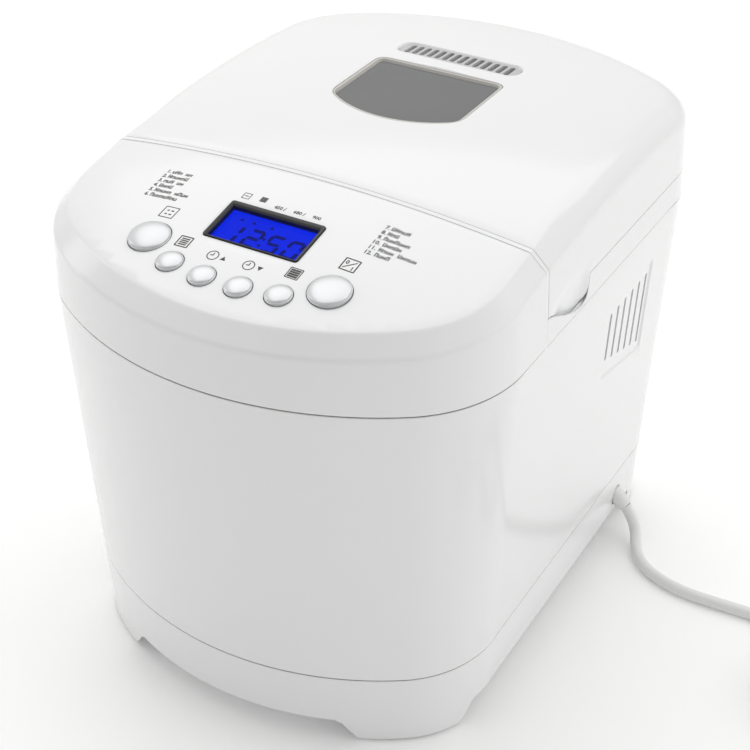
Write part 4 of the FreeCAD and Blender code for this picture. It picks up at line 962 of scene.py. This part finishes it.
for x in (-69, 69):
    for y in (-17, 13):
        over_post = placed([[x, y, 0]], PANEL)[0]
        below_deck = over_post[2] - float(dome(over_post[0], over_post[1])) + 1.2
        post_place = (placed([[x, y, -BOARD_DROP]], PANEL)[0], *PANEL[1:])
        post = drum(3.2, 0, BOARD_DROP - max(below_deck, 0.5))
        housing_meshes.append(solid(*revolved(post, post_place, 24)))
piece("housing_skin", housing_meshes, white_gloss, "machine", ["upper_housing"])

# ---------------------------------------------------------------- lid
lid_columns = everywhere[plan[:, 1] >= LID_FRONT - 0.01]
lid_y = plan[lid_columns, 1]
lid_low = np.full(len(lid_columns), LID_SEAM)
tab_curve = np.interp(lid_y, tab_edge[:, 0], tab_edge[:, 1])
lid_low = np.where(lid_y < TAB_REAR, np.minimum(tab_curve, LID_SEAM), lid_low)
over_hinges = (np.abs(plan[lid_columns, 0]) < HINGE_NOTCH) & (lid_y > SIDE_REAR)
lid_low = np.where(over_hinges, HINGE_NOTCH_TOP, lid_low)
shoulder = edge_rows(lid_columns)
lid_rows = [at(lid_columns, lid_low, EASED_EDGE), at(lid_columns, lid_low + EASED_EDGE)]
wall_top = np.maximum(shoulder[0][:, 2], lid_low + 1.5)
lid_rows += wall_rows(lid_columns, lid_low + 1.0, wall_top, 14)[:-1] + shoulder


def dished(rows, columns, amount=DISH_DEPTH):
    """Finger dish: the tab's face pressed in by a smooth bump over its length
    and height, fading out above the seam."""
    y = plan[columns, 1]
    across = smooth_step(y, -57.5, -40.0) * (1 - smooth_step(y, -19.0, -12.6))
    for row in rows:
        press = amount * across * (1 - smooth_step(row[:, 2], 212.0, 231.0))
        row[:, :2] -= plan_normals[columns] * press[:, None]
    return rows


lid_rows = dished(lid_rows, lid_columns)
vent_edge = grille_loop(1.3)
lid_openings = [(window_loop(0.25), [window_loop(1.4)]), (vent_edge, [grille_loop(2.3)])]
vent_slope = lofted([on_dome(vent_edge), on_dome(grille_loop(0.75), 0.8), on_dome(grille_loop(0.15), 1.7)])
lid_skin = joined(skinned(lid_columns, lid_rows, lid_openings), vent_slope)
lid_meshes = [solid(*lid_skin, wall=WALL, bevel=SKIN_BEVEL)]
lid_meshes.append(solid(*cross_wall(LID_FRONT + 0.05, lid_columns[:1], LID_SEAM, WALL), merge=0.01))
BOSS_FOOT = 224.0
for x in (-108.0, 108.0):
    for y in (-38.0, 70.0):
        tall = float(dome(x, y)) - 3.0 - BOSS_FOOT - 4
        boss = [(1.6, 0), (4.5, 0), (4.5, tall), (1.6, tall), (1.6, 0)]
        lid_meshes.append(solid(*revolved(boss, upright_at(x, y, BOSS_FOOT), 28)))
piece("lid_skin", lid_meshes, white_gloss, "lid", ["lid_shell"])

# ---------------------------------------------------------------- body shell
body_low = SKIRT_TOP + HALF_GAP
body_high = SEAM - HALF_GAP
heights = np.concatenate([
    [body_low, body_low + EASED_EDGE], np.linspace(body_low + 1.4, body_high - 1.4, 24),
    [body_high - EASED_EDGE, body_high],
])
press = np.where((heights == body_low) | (heights == body_high), EASED_EDGE, 0.0)
VENT_PITCH = 9.0
VENT_HOLES = tuple((25.0 + VENT_PITCH * index, 149.0 - 2.9 * index) for index in range(6))
VENT_TOP = 177.5


def side_panel(side, levels, pressed, holes, dents):
    """Straight part of one side as a sheet in (y, z): its edges match the rows
    of the wall, holes go through it, and dents are pressed in by a depth."""
    straight = np.abs(half_points[:, 0] - SIDE_X) < 1e-6
    ys = half_points[straight][:, 1]
    rear_edge = np.column_stack([np.full(len(levels), SIDE_REAR), levels])[1:-1]
    front_edge = np.column_stack([np.full(len(levels), SIDE_FRONT), levels])[::-1][1:-1]
    outline = np.concatenate([raised(ys, levels[0]), rear_edge, raised(ys, levels[-1])[::-1], front_edge])
    loose = [loop for dent, _ in dents for loop in dent]
    flat, faces = flat_domain(outline, holes, loose, 6.0, 2.2)
    depth = np.zeros(len(flat))
    for (_, inner), amount in dents:
        on_edge = np.min(np.linalg.norm(flat[:, None] - inner[None], axis=2), axis=1) < 0.01
        depth += np.where(within(flat, inner) | on_edge, amount, 0.0)
    lean = inset(flat[:, 1]) + depth + np.interp(flat[:, 1], levels, pressed)
    return np.column_stack([side * (SIDE_X - lean), flat]), faces


RECESS_DEPTH = 0.8
recess_outer = polygon_loop([(19.5, 184.0), (19.5, 139.9), (75.5, 127.6), (75.5, 184.0)], 2.2)
recess_inner = polygon_loop([(20.6, 182.9), (20.6, 140.9), (74.4, 129.1), (74.4, 182.9)], 1.6)
vent_slots = [slot_loop(y - 1.3, y + 1.3, z, VENT_TOP, 5) for y, z in VENT_HOLES]
on_right = np.where(plan[:, 0] > SIDE_X - 1e-6)[0]
on_left = np.where(plan[:, 0] < -SIDE_X + 1e-6)[0]
first_side = int(on_right[plan[on_right, 1] > SIDE_FRONT - 0.01].min())
last_side = int(on_right[plan[on_right, 1] < SIDE_REAR + 0.01].max())
rear_run = np.arange(last_side, int(on_left.min()) + 1)
front_run = np.concatenate([np.arange(int(on_left.max()), len(plan)), np.arange(0, first_side + 1)])


def wrap_rows(columns, levels, pressed):
    return band(columns, [at(columns, z, extra) for z, extra in zip(levels, pressed)], False)


body_parts = [wrap_rows(front_run, heights, press), wrap_rows(rear_run, heights, press)]
recess = ((recess_outer, recess_inner), RECESS_DEPTH)
body_parts += [side_panel(side, heights, press, vent_slots, [recess]) for side in (-1, 1)]
body_meshes = [solid(*joined(*body_parts), wall=WALL, merge=0.01), locating_lip(body_low)]
for side in (-1, 1):
    corners = ((17.0, 121.0), (79.0, 121.0), (79.0, 187.0), (17.0, 187.0))
    baffle = np.array([(SIDE_X - 7.4, y, z) for y, z in corners])
    baffle[:, 0] = side * (baffle[:, 0] - inset(baffle[:, 2]))
    body_meshes.append(solid(*lofted([baffle, baffle - np.array([side * 1.5, 0, 0])], capped=True)))
piece("body_skin", body_meshes, white_gloss, "machine", ["body_shell"], 30)

# ---------------------------------------------------------------- base skirt
ARCH = 13.5
ARCH_HALF = 62.0
ARCH_FRONT = -98.0
ARCH_REAR = 88.0
ARCH_SLOPE = 12.0
skirt_high = SKIRT_TOP - HALF_GAP
SKIRT_LOW = 1.2


def arch_height(x, y, on_side):
    """Bottom edge of the skirt: raised between the corner feet, with sloped ends."""
    past_side = np.maximum(np.maximum(ARCH_FRONT - y, y - ARCH_REAR), 0)
    past_front = np.maximum(np.abs(x) - ARCH_HALF, 0)
    fall = smooth_step(np.where(on_side, past_side, past_front), 0.0, ARCH_SLOPE)
    return ARCH + (SKIRT_LOW - ARCH) * fall


on_side = np.abs(plan[:, 0]) > 100.0
skirt_edge = arch_height(plan[:, 0], plan[:, 1], on_side)
shares = np.concatenate([[0.0, 0.012], np.linspace(0.06, 0.96, 8), [0.99, 1.0]])
skirt_press = np.where((shares == 0) | (shares == 1), EASED_EDGE, 0.0)


def skirt_rows(columns):
    rows = []
    for share, extra in zip(shares, skirt_press):
        level = skirt_edge[columns] + (skirt_high - skirt_edge[columns]) * share
        rows.append(at(columns, level, extra))
    return band(columns, rows, False)


def exit_loop(radius, steps=36):
    """Where a round hole along the sleeve meets the side wall, as (y, z)."""
    way = np.array(SLEEVE_WAY)
    wall_x = SIDE_X - float(inset(25.0))
    middle = np.array(EXIT) + way * (wall_x - EXIT[0]) / way[0]
    return middle[1:] + circle(radius, steps) * np.array([1.01, 1.2])


side_levels = np.interp(shares, [0, 1], [ARCH, skirt_high])
skirt_parts = [skirt_rows(front_run), skirt_rows(rear_run)]
for side in (-1, 1):
    holes = [exit_loop(5.35)] if side > 0 else []
    dents = [((exit_loop(9.5), exit_loop(7.8)), 0.0)] if side > 0 else []
    skirt_parts.append(side_panel(side, side_levels, skirt_press, holes, dents))
skirt_meshes = [solid(*joined(*skirt_parts), wall=WALL, merge=0.01)]
floor_low = ARCH + 1.5
floor_columns = np.arange(0, len(plan), 2)
floor_rim = at(floor_columns, floor_low, WALL - 0.2)[:, :2]
screw_holes = [circle(2.0, 16) + np.array([x, y]) for y in (-128.0, 100.0) for x in (-50.0, 50.0)]
floor_flat, floor_faces = flat_domain(floor_rim, screw_holes, (), 20.0, 4.0)
skirt_meshes.append(solid(raised(floor_flat, floor_low), floor_faces, wall=-2.5, outward=False))
FOOT_PLACES = [upright_at(x, y) for x in (-84.0, 84.0) for y in (-108.0, 112.0)]
pad_top = floor_low + 0.5
pad = [(0, 3.5), (8.1, 3.5), (8.1, SKIRT_LOW), (13.6, SKIRT_LOW), (13.6, pad_top), (0, pad_top)]
skirt_meshes += [solid(*revolved(pad, place, 40)) for place in FOOT_PLACES]
piece("skirt_skin", skirt_meshes, white_gloss, "machine", ["base_skirt"], 30)
foot = [(0, 0), (6.6, 0), (7.6, 0.3), (8.0, 1.0), (8.0, 3.5), (0, 3.5)]
foot_meshes = [solid(*revolved(foot, place, 40)) for place in FOOT_PLACES]
piece("feet", foot_meshes, rubber, "machine", ["rubber_feet"])

# ---------------------------------------------------------------- buttons
SWITCH_TALL = 4.1
BUTTON_TRAVEL = 1.2


def button_profile(radius, stem):
    """Cap like a shallow lens with a fine rolled rim, a flange under the deck and
    a stem: height falls with the square root of what is left of the radius."""
    share = np.sin(np.linspace(0, math.pi / 2, 16))[:-1]
    rise = 0.7 + 0.13 * radius
    reach = radius - 0.5
    cap = [(reach * s, 0.75 + rise * math.sqrt(1 - 0.93 * s * s)) for s in share]
    cap.append((reach, 0.75 + rise * math.sqrt(0.05)))
    rim = [(reach + 0.12, 0.62), (reach + 0.32, 0.58), (radius - 0.02, 0.4), (radius, 0.15), (radius, -3.3)]
    under = [(radius + 1.3, -3.3), (radius + 1.3, -4.7), (2.6, -4.7), (2.6, -stem), (0, -stem)]
    return cap + rim + under


for label, x, y, radius in BUTTONS:
    seat = seat_of(x, y)
    drop = -float(np.dot(seat - panel_origin, panel_out))
    stem = max(BOARD_DROP - drop - SWITCH_TALL - BUTTON_TRAVEL - 0.1, 4.9)
    cap = solid(*revolved(button_profile(radius, stem), (seat, *PANEL[1:]), 72))
    piece(label + "_cap", [cap], silver_grey, label, [label], 32)


# ---------------------------------------------------------------- display
def display_rings():
    """Black surround: a rounded outer edge, a flat face and a sloped inner edge."""
    def ring_at(half_x, low, high, corner, level):
        loop = rounded_loop(half_x, (high - low) / 2, corner, (0, (high + low) / 2), 6)
        return placed(raised(loop, level), PANEL)
    return [
        ring_at(25.0, -13.0, 13.0, 1.4, -3.0), ring_at(25.0, -13.0, 13.0, 1.4, 0.05),
        ring_at(24.8, -12.8, 12.8, 1.2, 0.25), ring_at(24.1, -12.5, 11.2, 0.8, 0.25),
        ring_at(23.7, -12.3, 10.7, 0.6, 0.05), ring_at(23.05, -12.05, 10.05, 0.4, -0.7),
        ring_at(23.05, -12.05, 10.05, 0.4, -3.0),
    ]


piece("display_surround", [solid(*lofted(display_rings(), closed=True))], black_plastic, "machine",
      ["display_bezel"], 30)

display_pane = rounded_loop(23.0, 11.0, 0.4, (0, -1.0), 5)
pane_loops = [placed(raised(display_pane, level), PANEL) for level in (-1.9, -0.8)]
piece("display_pane", [solid(*lofted(pane_loops, capped=True))], display_glass, "machine",
      ["display_window"])

SEGMENTS = {"0": "abcdef", "1": "bc", "2": "abdeg", "5": "acdfg"}
FIGURE_SLANT = 0.08


def segment_shapes(letter, x, y, wide, tall, stroke):
    """Seven-segment figure as slanted bars with pointed ends."""
    mid = y + tall / 2
    h = stroke / 2
    inset_end = stroke * 0.22 + h * 0.4
    flat = {"a": y + tall - h, "g": mid, "d": y + h}
    right, left, top = x + wide - h, x + h, y + tall
    upright = {"b": (right, mid, top), "c": (right, y, mid), "e": (left, y, mid), "f": (left, mid, top)}
    shapes = []
    for key in SEGMENTS[letter]:
        if key in flat:
            z = flat[key]
            x0, x1 = x + inset_end, x + wide - inset_end
            below = [(x0, z), (x0 + h, z - h), (x1 - h, z - h)]
            shapes.append(below + [(x1, z), (x1 - h, z + h), (x0 + h, z + h)])
        else:
            cx, low, high = upright[key]
            z0, z1 = low + inset_end, high - inset_end
            right_side = [(cx, z0), (cx + h, z0 + h), (cx + h, z1 - h)]
            shapes.append(right_side + [(cx, z1), (cx - h, z1 - h), (cx - h, z0 + h)])
    return [[(px + (py - y) * FIGURE_SLANT, py) for px, py in shape] for shape in shapes]


def prisms(shapes, base, height, to_space):
    """Thin closed prisms over flat convex shapes; to_space lifts (x, y, level)."""
    parts = []
    for shape in shapes:
        flat = np.asarray(shape, float)
        count = len(flat)
        low = to_space(raised(flat, base))
        high = to_space(raised(flat, base + height))
        index = np.arange(count)
        sides = np.stack([index, (index + 1) % count, (index + 1) % count + count, index + count], axis=1)
        faces = sides.tolist() + [index[::-1].tolist(), (index + count).tolist()]
        parts.append((np.concatenate([low, high]), faces))
    return joined(*parts)


def on_panel(points):
    return placed(points, PANEL)


digits = []
for letter, x in (("1", -19.5), ("2", -8.5), ("5", 2.3), ("0", 12.6)):
    digits += segment_shapes(letter, x, -10.6, 8.0, 12.6, 1.8)
for y in (-7.2, -2.6):
    digits.append(np.array(circle(0.8, 10)) + np.array([1.1, y]))
for x in (-15.5, -9.0, 0.5):
    digits.append([(x - 1.1, 4.6), (x + 1.1, 4.6), (x, 6.4)])
piece("display_figures", [solid(*prisms(digits, -2.99, 0.12, on_panel))], lcd_dark, "machine")


# ---------------------------------------------------------------- lid window and grille
INNER_PANE_LOW = 240.1


def window_rings():
    """Trim round the outer pane, level with the top, and the funnel below it."""
    def trim(grow, below):
        return on_dome(window_loop(grow), below)

    def level(grow, height):
        return raised(window_loop(grow), height)
    return [
        level(-0.1, 257.0), trim(-0.1, 0.6), trim(-0.3, 0.3), trim(-0.6, 0.15), trim(-1.3, 0.15),
        trim(-1.6, 0.35), trim(-1.8, 0.9), level(-2.6, 264.2), level(-3.0, 262.0), level(-4.0, 256.0),
        level(-4.3, 243.4), level(-4.3, INNER_PANE_LOW), level(-2.6, INNER_PANE_LOW), level(-2.4, 256.6),
    ]


piece("window_trim", [solid(*lofted(window_rings(), closed=True), merge=0.001)], window_grey, "lid",
      ["window_frame"], 28)


def pane(grow, low, high):
    """Flat pane with its edges eased by 0.3 mm."""
    levels = ((-0.3, low), (0.0, low + 0.3), (0.0, high - 0.3), (-0.3, high))
    loops = [raised(window_loop(grow + extra), height) for extra, height in levels]
    return solid(*lofted(loops, capped=True), merge=0.001)


piece("window_pane", [pane(-2.5, 262.1, 265.0)], smoked_glass, "lid", ["lid_window_outer"])
piece("window_inner_pane", [pane(-4.35, INNER_PANE_LOW + 0.1, 243.0)], clear_glass, "lid",
      ["lid_window_inner"])

SLOTS = 14
SLOT_PITCH = 62.5 / SLOTS
SLOT_HALF = (1.45, 5.9)


def grille_sheet():
    """Plate sunk below the top, with a row of slots."""
    low, high = GRILLE_Y - SLOT_HALF[1], GRILLE_Y + SLOT_HALF[1]
    slots = []
    for index in range(SLOTS):
        x = (index - (SLOTS - 1) / 2) * SLOT_PITCH
        slots.append(slot_loop(x - SLOT_HALF[0], x + SLOT_HALF[0], low, high, 5))
    flat, faces = flat_domain(grille_loop(0.12), slots, (), 3.0, 1.0)
    return on_dome(flat, 0.9), faces


piece("steam_grille", [solid(*grille_sheet(), wall=6.0, bevel=0.25, merge=0.001)], grille_grey, "lid",
      ["vent_grille"])


# ---------------------------------------------------------------- printed marks
def on_deck(points):
    return np.column_stack([points[:, :2], dome(points[:, 0], points[:, 1]) + points[:, 2]])


def bar(x0, y0, x1, y1, thick):
    """Straight stroke between two points as a four-cornered shape."""
    first, last = np.array([x0, y0], float), np.array([x1, y1], float)
    way = (last - first) / np.linalg.norm(last - first)
    off = np.array([-way[1], way[0]]) * thick / 2
    return [first - off, last - off, last + off, first + off]


def outline(corners, thick):
    """Closed outline of straight strokes."""
    return [bar(*first, *last, thick) for first, last in zip(corners, [*corners[1:], corners[0]])]


def frame_box(x, y, half, thick=0.45):
    """Square outline of four strokes."""
    signs = ((-1, -1), (1, -1), (1, 1), (-1, 1))
    return outline([(x + half * across, y + half * along) for across, along in signs], thick)


def clock_face(x, y, radius, thick=0.45):
    """Ring of short strokes with two hands."""
    ring = outline(circle(radius, 20) + np.array([x, y]), thick)
    return ring + [bar(x, y, x, y + radius * 0.62, thick), bar(x, y, x - radius * 0.5, y, thick)]


def rules(x, levels, half, thick):
    """Level strokes, one above the other, about a middle."""
    return [bar(x - half, y, x + half, y, thick) for y in levels]


def loaf_box(x, y, half):
    """Filled square with three light cuts, drawn as four bands."""
    return rules(x, [y + half * level for level in (-0.78, -0.26, 0.26, 0.78)], half, half * 0.42)


marks = frame_box(-48.9, -107.0, 3.6)
for x, half in ((-50.0, 0.6), (-47.7, 0.7)):
    marks += rules(x, (-105.8, -108.3), half, 0.7)
marks += frame_box(-29.9, -122.2, 3.2, 0.6) + rules(-29.9, (-124.0, -122.8, -121.6, -120.4), 2.1, 0.7)
marks += clock_face(-12.2, -125.3, 2.7) + [[(-7.9, -126.6), (-5.1, -126.6), (-6.5, -124.2)]]
marks += clock_face(6.4, -124.9, 2.7) + [[(12.1, -126.2), (13.5, -123.8), (10.7, -123.8)]]
marks += frame_box(27.6, -121.4, 3.1) + loaf_box(27.6, -121.4, 2.5)
marks += frame_box(46.9, -106.6, 3.6, 0.6) + [bar(44.2, -109.0, 49.4, -104.2, 0.5)]
marks += frame_box(-21.0, -84.5, 1.9, 0.35) + [bar(-22.0, -84.5, -20.0, -84.5, 0.5)]
marks += loaf_box(-12.0, -84.1, 1.7)
figure_sheets = []


def figures(text, x, y, height):
    """Figures as flat outlines filled in, lifted onto the deck."""
    curve = bpy.data.curves.new("figure", "FONT")
    curve.body = text
    curve.size = height * 1.35
    curve.resolution_u = 2
    curve.offset = height * 0.03
    holder = bpy.data.objects.new("figure", curve)
    scene.collection.objects.link(holder)
    flat = finished_mesh(holder)
    points = np.array([tuple(vertex.co) for vertex in flat.vertices])
    faces = [list(face.vertices) for face in flat.polygons]
    points = points + np.array([x, y - height / 2, 0.06])
    return on_deck(points), faces


LIST_ROWS = 6
ROW_STEP = 3.65
LETTER_STEP = 1.9
LETTERS = (
    ("xXx xx", "XxxxxX", "xxX xx", "XxxX", "Xxxxx xXxx", "XxxxxXxx"),
    ("XXxxX", "XxX", "XxxXxxx", "XxxXx", "Xxxx Xxxxx", "XxxX"),
)


def letter_block(x, low, tall, bar_level):
    """Letter-like block: two uprights joined by a bar."""
    left, right = x - 0.55, x + 0.55
    level = low + tall * bar_level
    uprights = [bar(side, low, side, low + tall, 0.5) for side in (left, right)]
    return uprights + [bar(left, level, right, level, 0.45)]


for column, (left, top, first) in enumerate(((-69.3, -79.6, 1), (48.2, -77.6, 7))):
    for row in range(LIST_ROWS):
        y = top - row * ROW_STEP
        number = first + row
        figure_sheets.append(figures(f"{number}.", left - (0.6 if number > 9 else 0), y, 2.5))
        for place, letter in enumerate(LETTERS[column][row]):
            x = left + (5.6 if number > 9 else 4.0) + place * LETTER_STEP
            if letter != " ":
                tall = 2.5 if letter == "X" else 1.8
                marks += letter_block(x, y - 1.25, tall, (0.12, 0.5, 0.88)[(place + row) % 3])
for text, x, y, height in (("450 /", -4.6, -86.4, 2.1), ("680 /", 5.4, -86.1, 2.1), ("900", 15.2, -85.8, 2.1),
                           ("0", 44.2, -105.2, 2.4), ("1", 48.0, -108.2, 2.4)):
    figure_sheets.append(figures(text, x, y, height))
mark_mesh = solid(*prisms(marks, 0.0, 0.07, on_deck), merge=0.0001)
figure_mesh = solid(*joined(*figure_sheets), wall=0.06, merge=0.0001, outward=False)
piece("printed_marks", [mark_mesh, figure_mesh], print_dark, "machine")


# ---------------------------------------------------------------- bread pan and its handle
PAN_MIDDLE_Y = 40.0
PAN_FLOOR = 88.0
PAN_RIM = 172.0
PAN_WALL = 1.8


def pan_loop(height, grow=0.0, steps=10):
    """Rounded rectangle of the tapered pan at a height."""
    lean = 7.0 * (PAN_RIM - height) / (PAN_RIM - PAN_FLOOR)
    loop = rounded_loop(75.0 - lean + grow, 65.0 - lean + grow, 24.0 + grow, (0, PAN_MIDDLE_Y), steps)
    return raised(loop, height)


def hub_ring(radius, height, like):
    """Ring round the bearing with as many points as the pan's loops, in line with them."""
    way = like[:, :2] - np.array([0, PAN_MIDDLE_Y])
    way = way / np.linalg.norm(way, axis=1)[:, None]
    return raised(way * radius + np.array([0, PAN_MIDDLE_Y]), height)


def pan_rings():
    """Rolled rim, tapered wall with two shallow beads, rounded floor edge, and
    the floor in to the bearing, inside and then back outside."""
    rim = ((172.0, -1.8), (172.4, 0.0), (172.3, 3.0), (171.6, 4.0), (170.8, 3.9), (170.6, 3.0), (170.4, 0.6),
           (169.0, 0.0))
    beads = ((160.0, 0.0), (158.0, 0.5), (156.0, 0.0), (110.0, 0.0), (108.0, 0.5), (106.0, 0.0), (94.0, 0.0))
    rings = [pan_loop(height, grow) for height, grow in rim + beads]
    for angle in np.radians([30, 60, 90]):
        rings.append(pan_loop(94.0 - 6.0 * math.sin(angle), -6.0 * (1 - math.cos(angle))))
    like = pan_loop(PAN_FLOOR)
    inside = PAN_FLOOR + PAN_WALL
    hub = ((30.0, PAN_FLOOR), (7.02, PAN_FLOOR), (7.02, inside), (30.0, inside))
    rings += [hub_ring(radius, height, like) for radius, height in hub]
    for angle in np.radians([90, 60, 30, 0]):
        rings.append(pan_loop(95.0 - 5.2 * math.sin(angle), -PAN_WALL - 5.2 * (1 - math.cos(angle))))
    return rings


piece("pan_vessel", [solid(*lofted(pan_rings(), closed=True), merge=0.001)], dark_coating, "pan",
      ["bread_pan"], 50)
BAIL_PIVOT = 164.0
BAIL_ARM = 58.0
BAIL_REST = math.radians(10.6)
BAIL_HALF = 83.5
grip_y = PAN_MIDDLE_Y + BAIL_ARM * math.cos(BAIL_REST)
grip_z = BAIL_PIVOT + BAIL_ARM * math.sin(BAIL_REST)
bail_half = [(x, PAN_MIDDLE_Y, BAIL_PIVOT) for x in (75.6, BAIL_HALF)] + [(BAIL_HALF, grip_y, grip_z)]
bail = rounded_path(bail_half + [(-x, y, z) for x, y, z in bail_half[::-1]], 7.0)
piece("bail_handle", [solid(*tube(bail, 2.2, 20))], steel, "handle", ["pan_handle"], 40)


# ---------------------------------------------------------------- finishes of the carried nodes
for row in frame["record"]["subparts"]:
    node = cad[row["node"]]
    node.data.materials.clear()
    node.data.materials.append(FINISHES[row["material_slot"]])


# ---------------------------------------------------------------- floor and light
FLOOR_HALF = 12000
floor_corners = [(x * FLOOR_HALF, y * FLOOR_HALF, 0) for x, y in ((-1, -1), (1, -1), (1, 1), (-1, 1))]
floor_mesh = raw_mesh(floor_corners, [(0, 1, 2, 3)])
floor = bpy.data.objects.new("studio_floor", floor_mesh)
scene.collection.objects.link(floor)
floor_finish = Finish("studio_floor_paint", (0.97, 0.97, 0.97), 0.6,
                      Emission_Color=(1, 1, 1, 1), Emission_Strength=0.08)
floor_mesh.materials.append(floor_finish.material)
SKY_BASE = 0.08
SKY_GAINS = (("Z", 1, 0.36), ("X", 1, 0.7), ("X", -1, 0.8), ("Y", 1, 0.4))
world = bpy.data.worlds.new("studio")
scene.world = world
world.use_nodes = True
sky = world.node_tree
facing = sky.nodes.new("ShaderNodeTexCoord")
parts = sky.nodes.new("ShaderNodeSeparateXYZ")
sky.links.new(facing.outputs["Generated"], parts.inputs[0])


def sky_part(operation, left, right):
    made = sky.nodes.new("ShaderNodeMath")
    made.operation = operation
    for socket, value in zip(made.inputs, (left, right)):
        if isinstance(value, bpy.types.NodeSocket):
            sky.links.new(value, socket)
        else:
            socket.default_value = value
    return made.outputs[0]


def lifted(axis, sign, gain):
    """Light that grows towards one direction of the sky."""
    towards = sky_part("MULTIPLY", parts.outputs[axis], sign)
    return sky_part("MULTIPLY", sky_part("MAXIMUM", towards, 0.0), gain)


glow = SKY_BASE
for axis, sign, gain in SKY_GAINS:
    glow = sky_part("ADD", lifted(axis, sign, gain), glow)
sky.links.new(glow, sky.nodes["Background"].inputs["Strength"])
sky.nodes["Background"].inputs["Color"].default_value = (1.0, 0.995, 0.985, 1)
scene.view_settings.view_transform = "Standard"


def soft_box(name, place, target, width, height, power, colour=(1, 1, 1)):
    lamp = bpy.data.lights.new(name, "AREA")
    lamp.shape = "RECTANGLE"
    lamp.size = width
    lamp.size_y = height
    lamp.energy = power
    lamp.color = colour
    holder = bpy.data.objects.new(name, lamp)
    scene.collection.objects.link(holder)
    way = Vector(target) - Vector(place)
    holder.matrix_world = Matrix.Translation(place) @ way.to_track_quat("-Z", "Y").to_matrix().to_4x4()


soft_box("top_light", (-0.2, 0.5, 1.6), (0, 0, 0.1), 2.0, 1.8, 11.0)
soft_box("right_light", (1.6, 0.5, 0.7), (0, 0, 0.12), 1.2, 1.2, 2.0)
soft_box("left_strip", (-1.2, -0.3, 0.5), (0, -0.05, 0.12), 0.25, 1.2, 1.2)
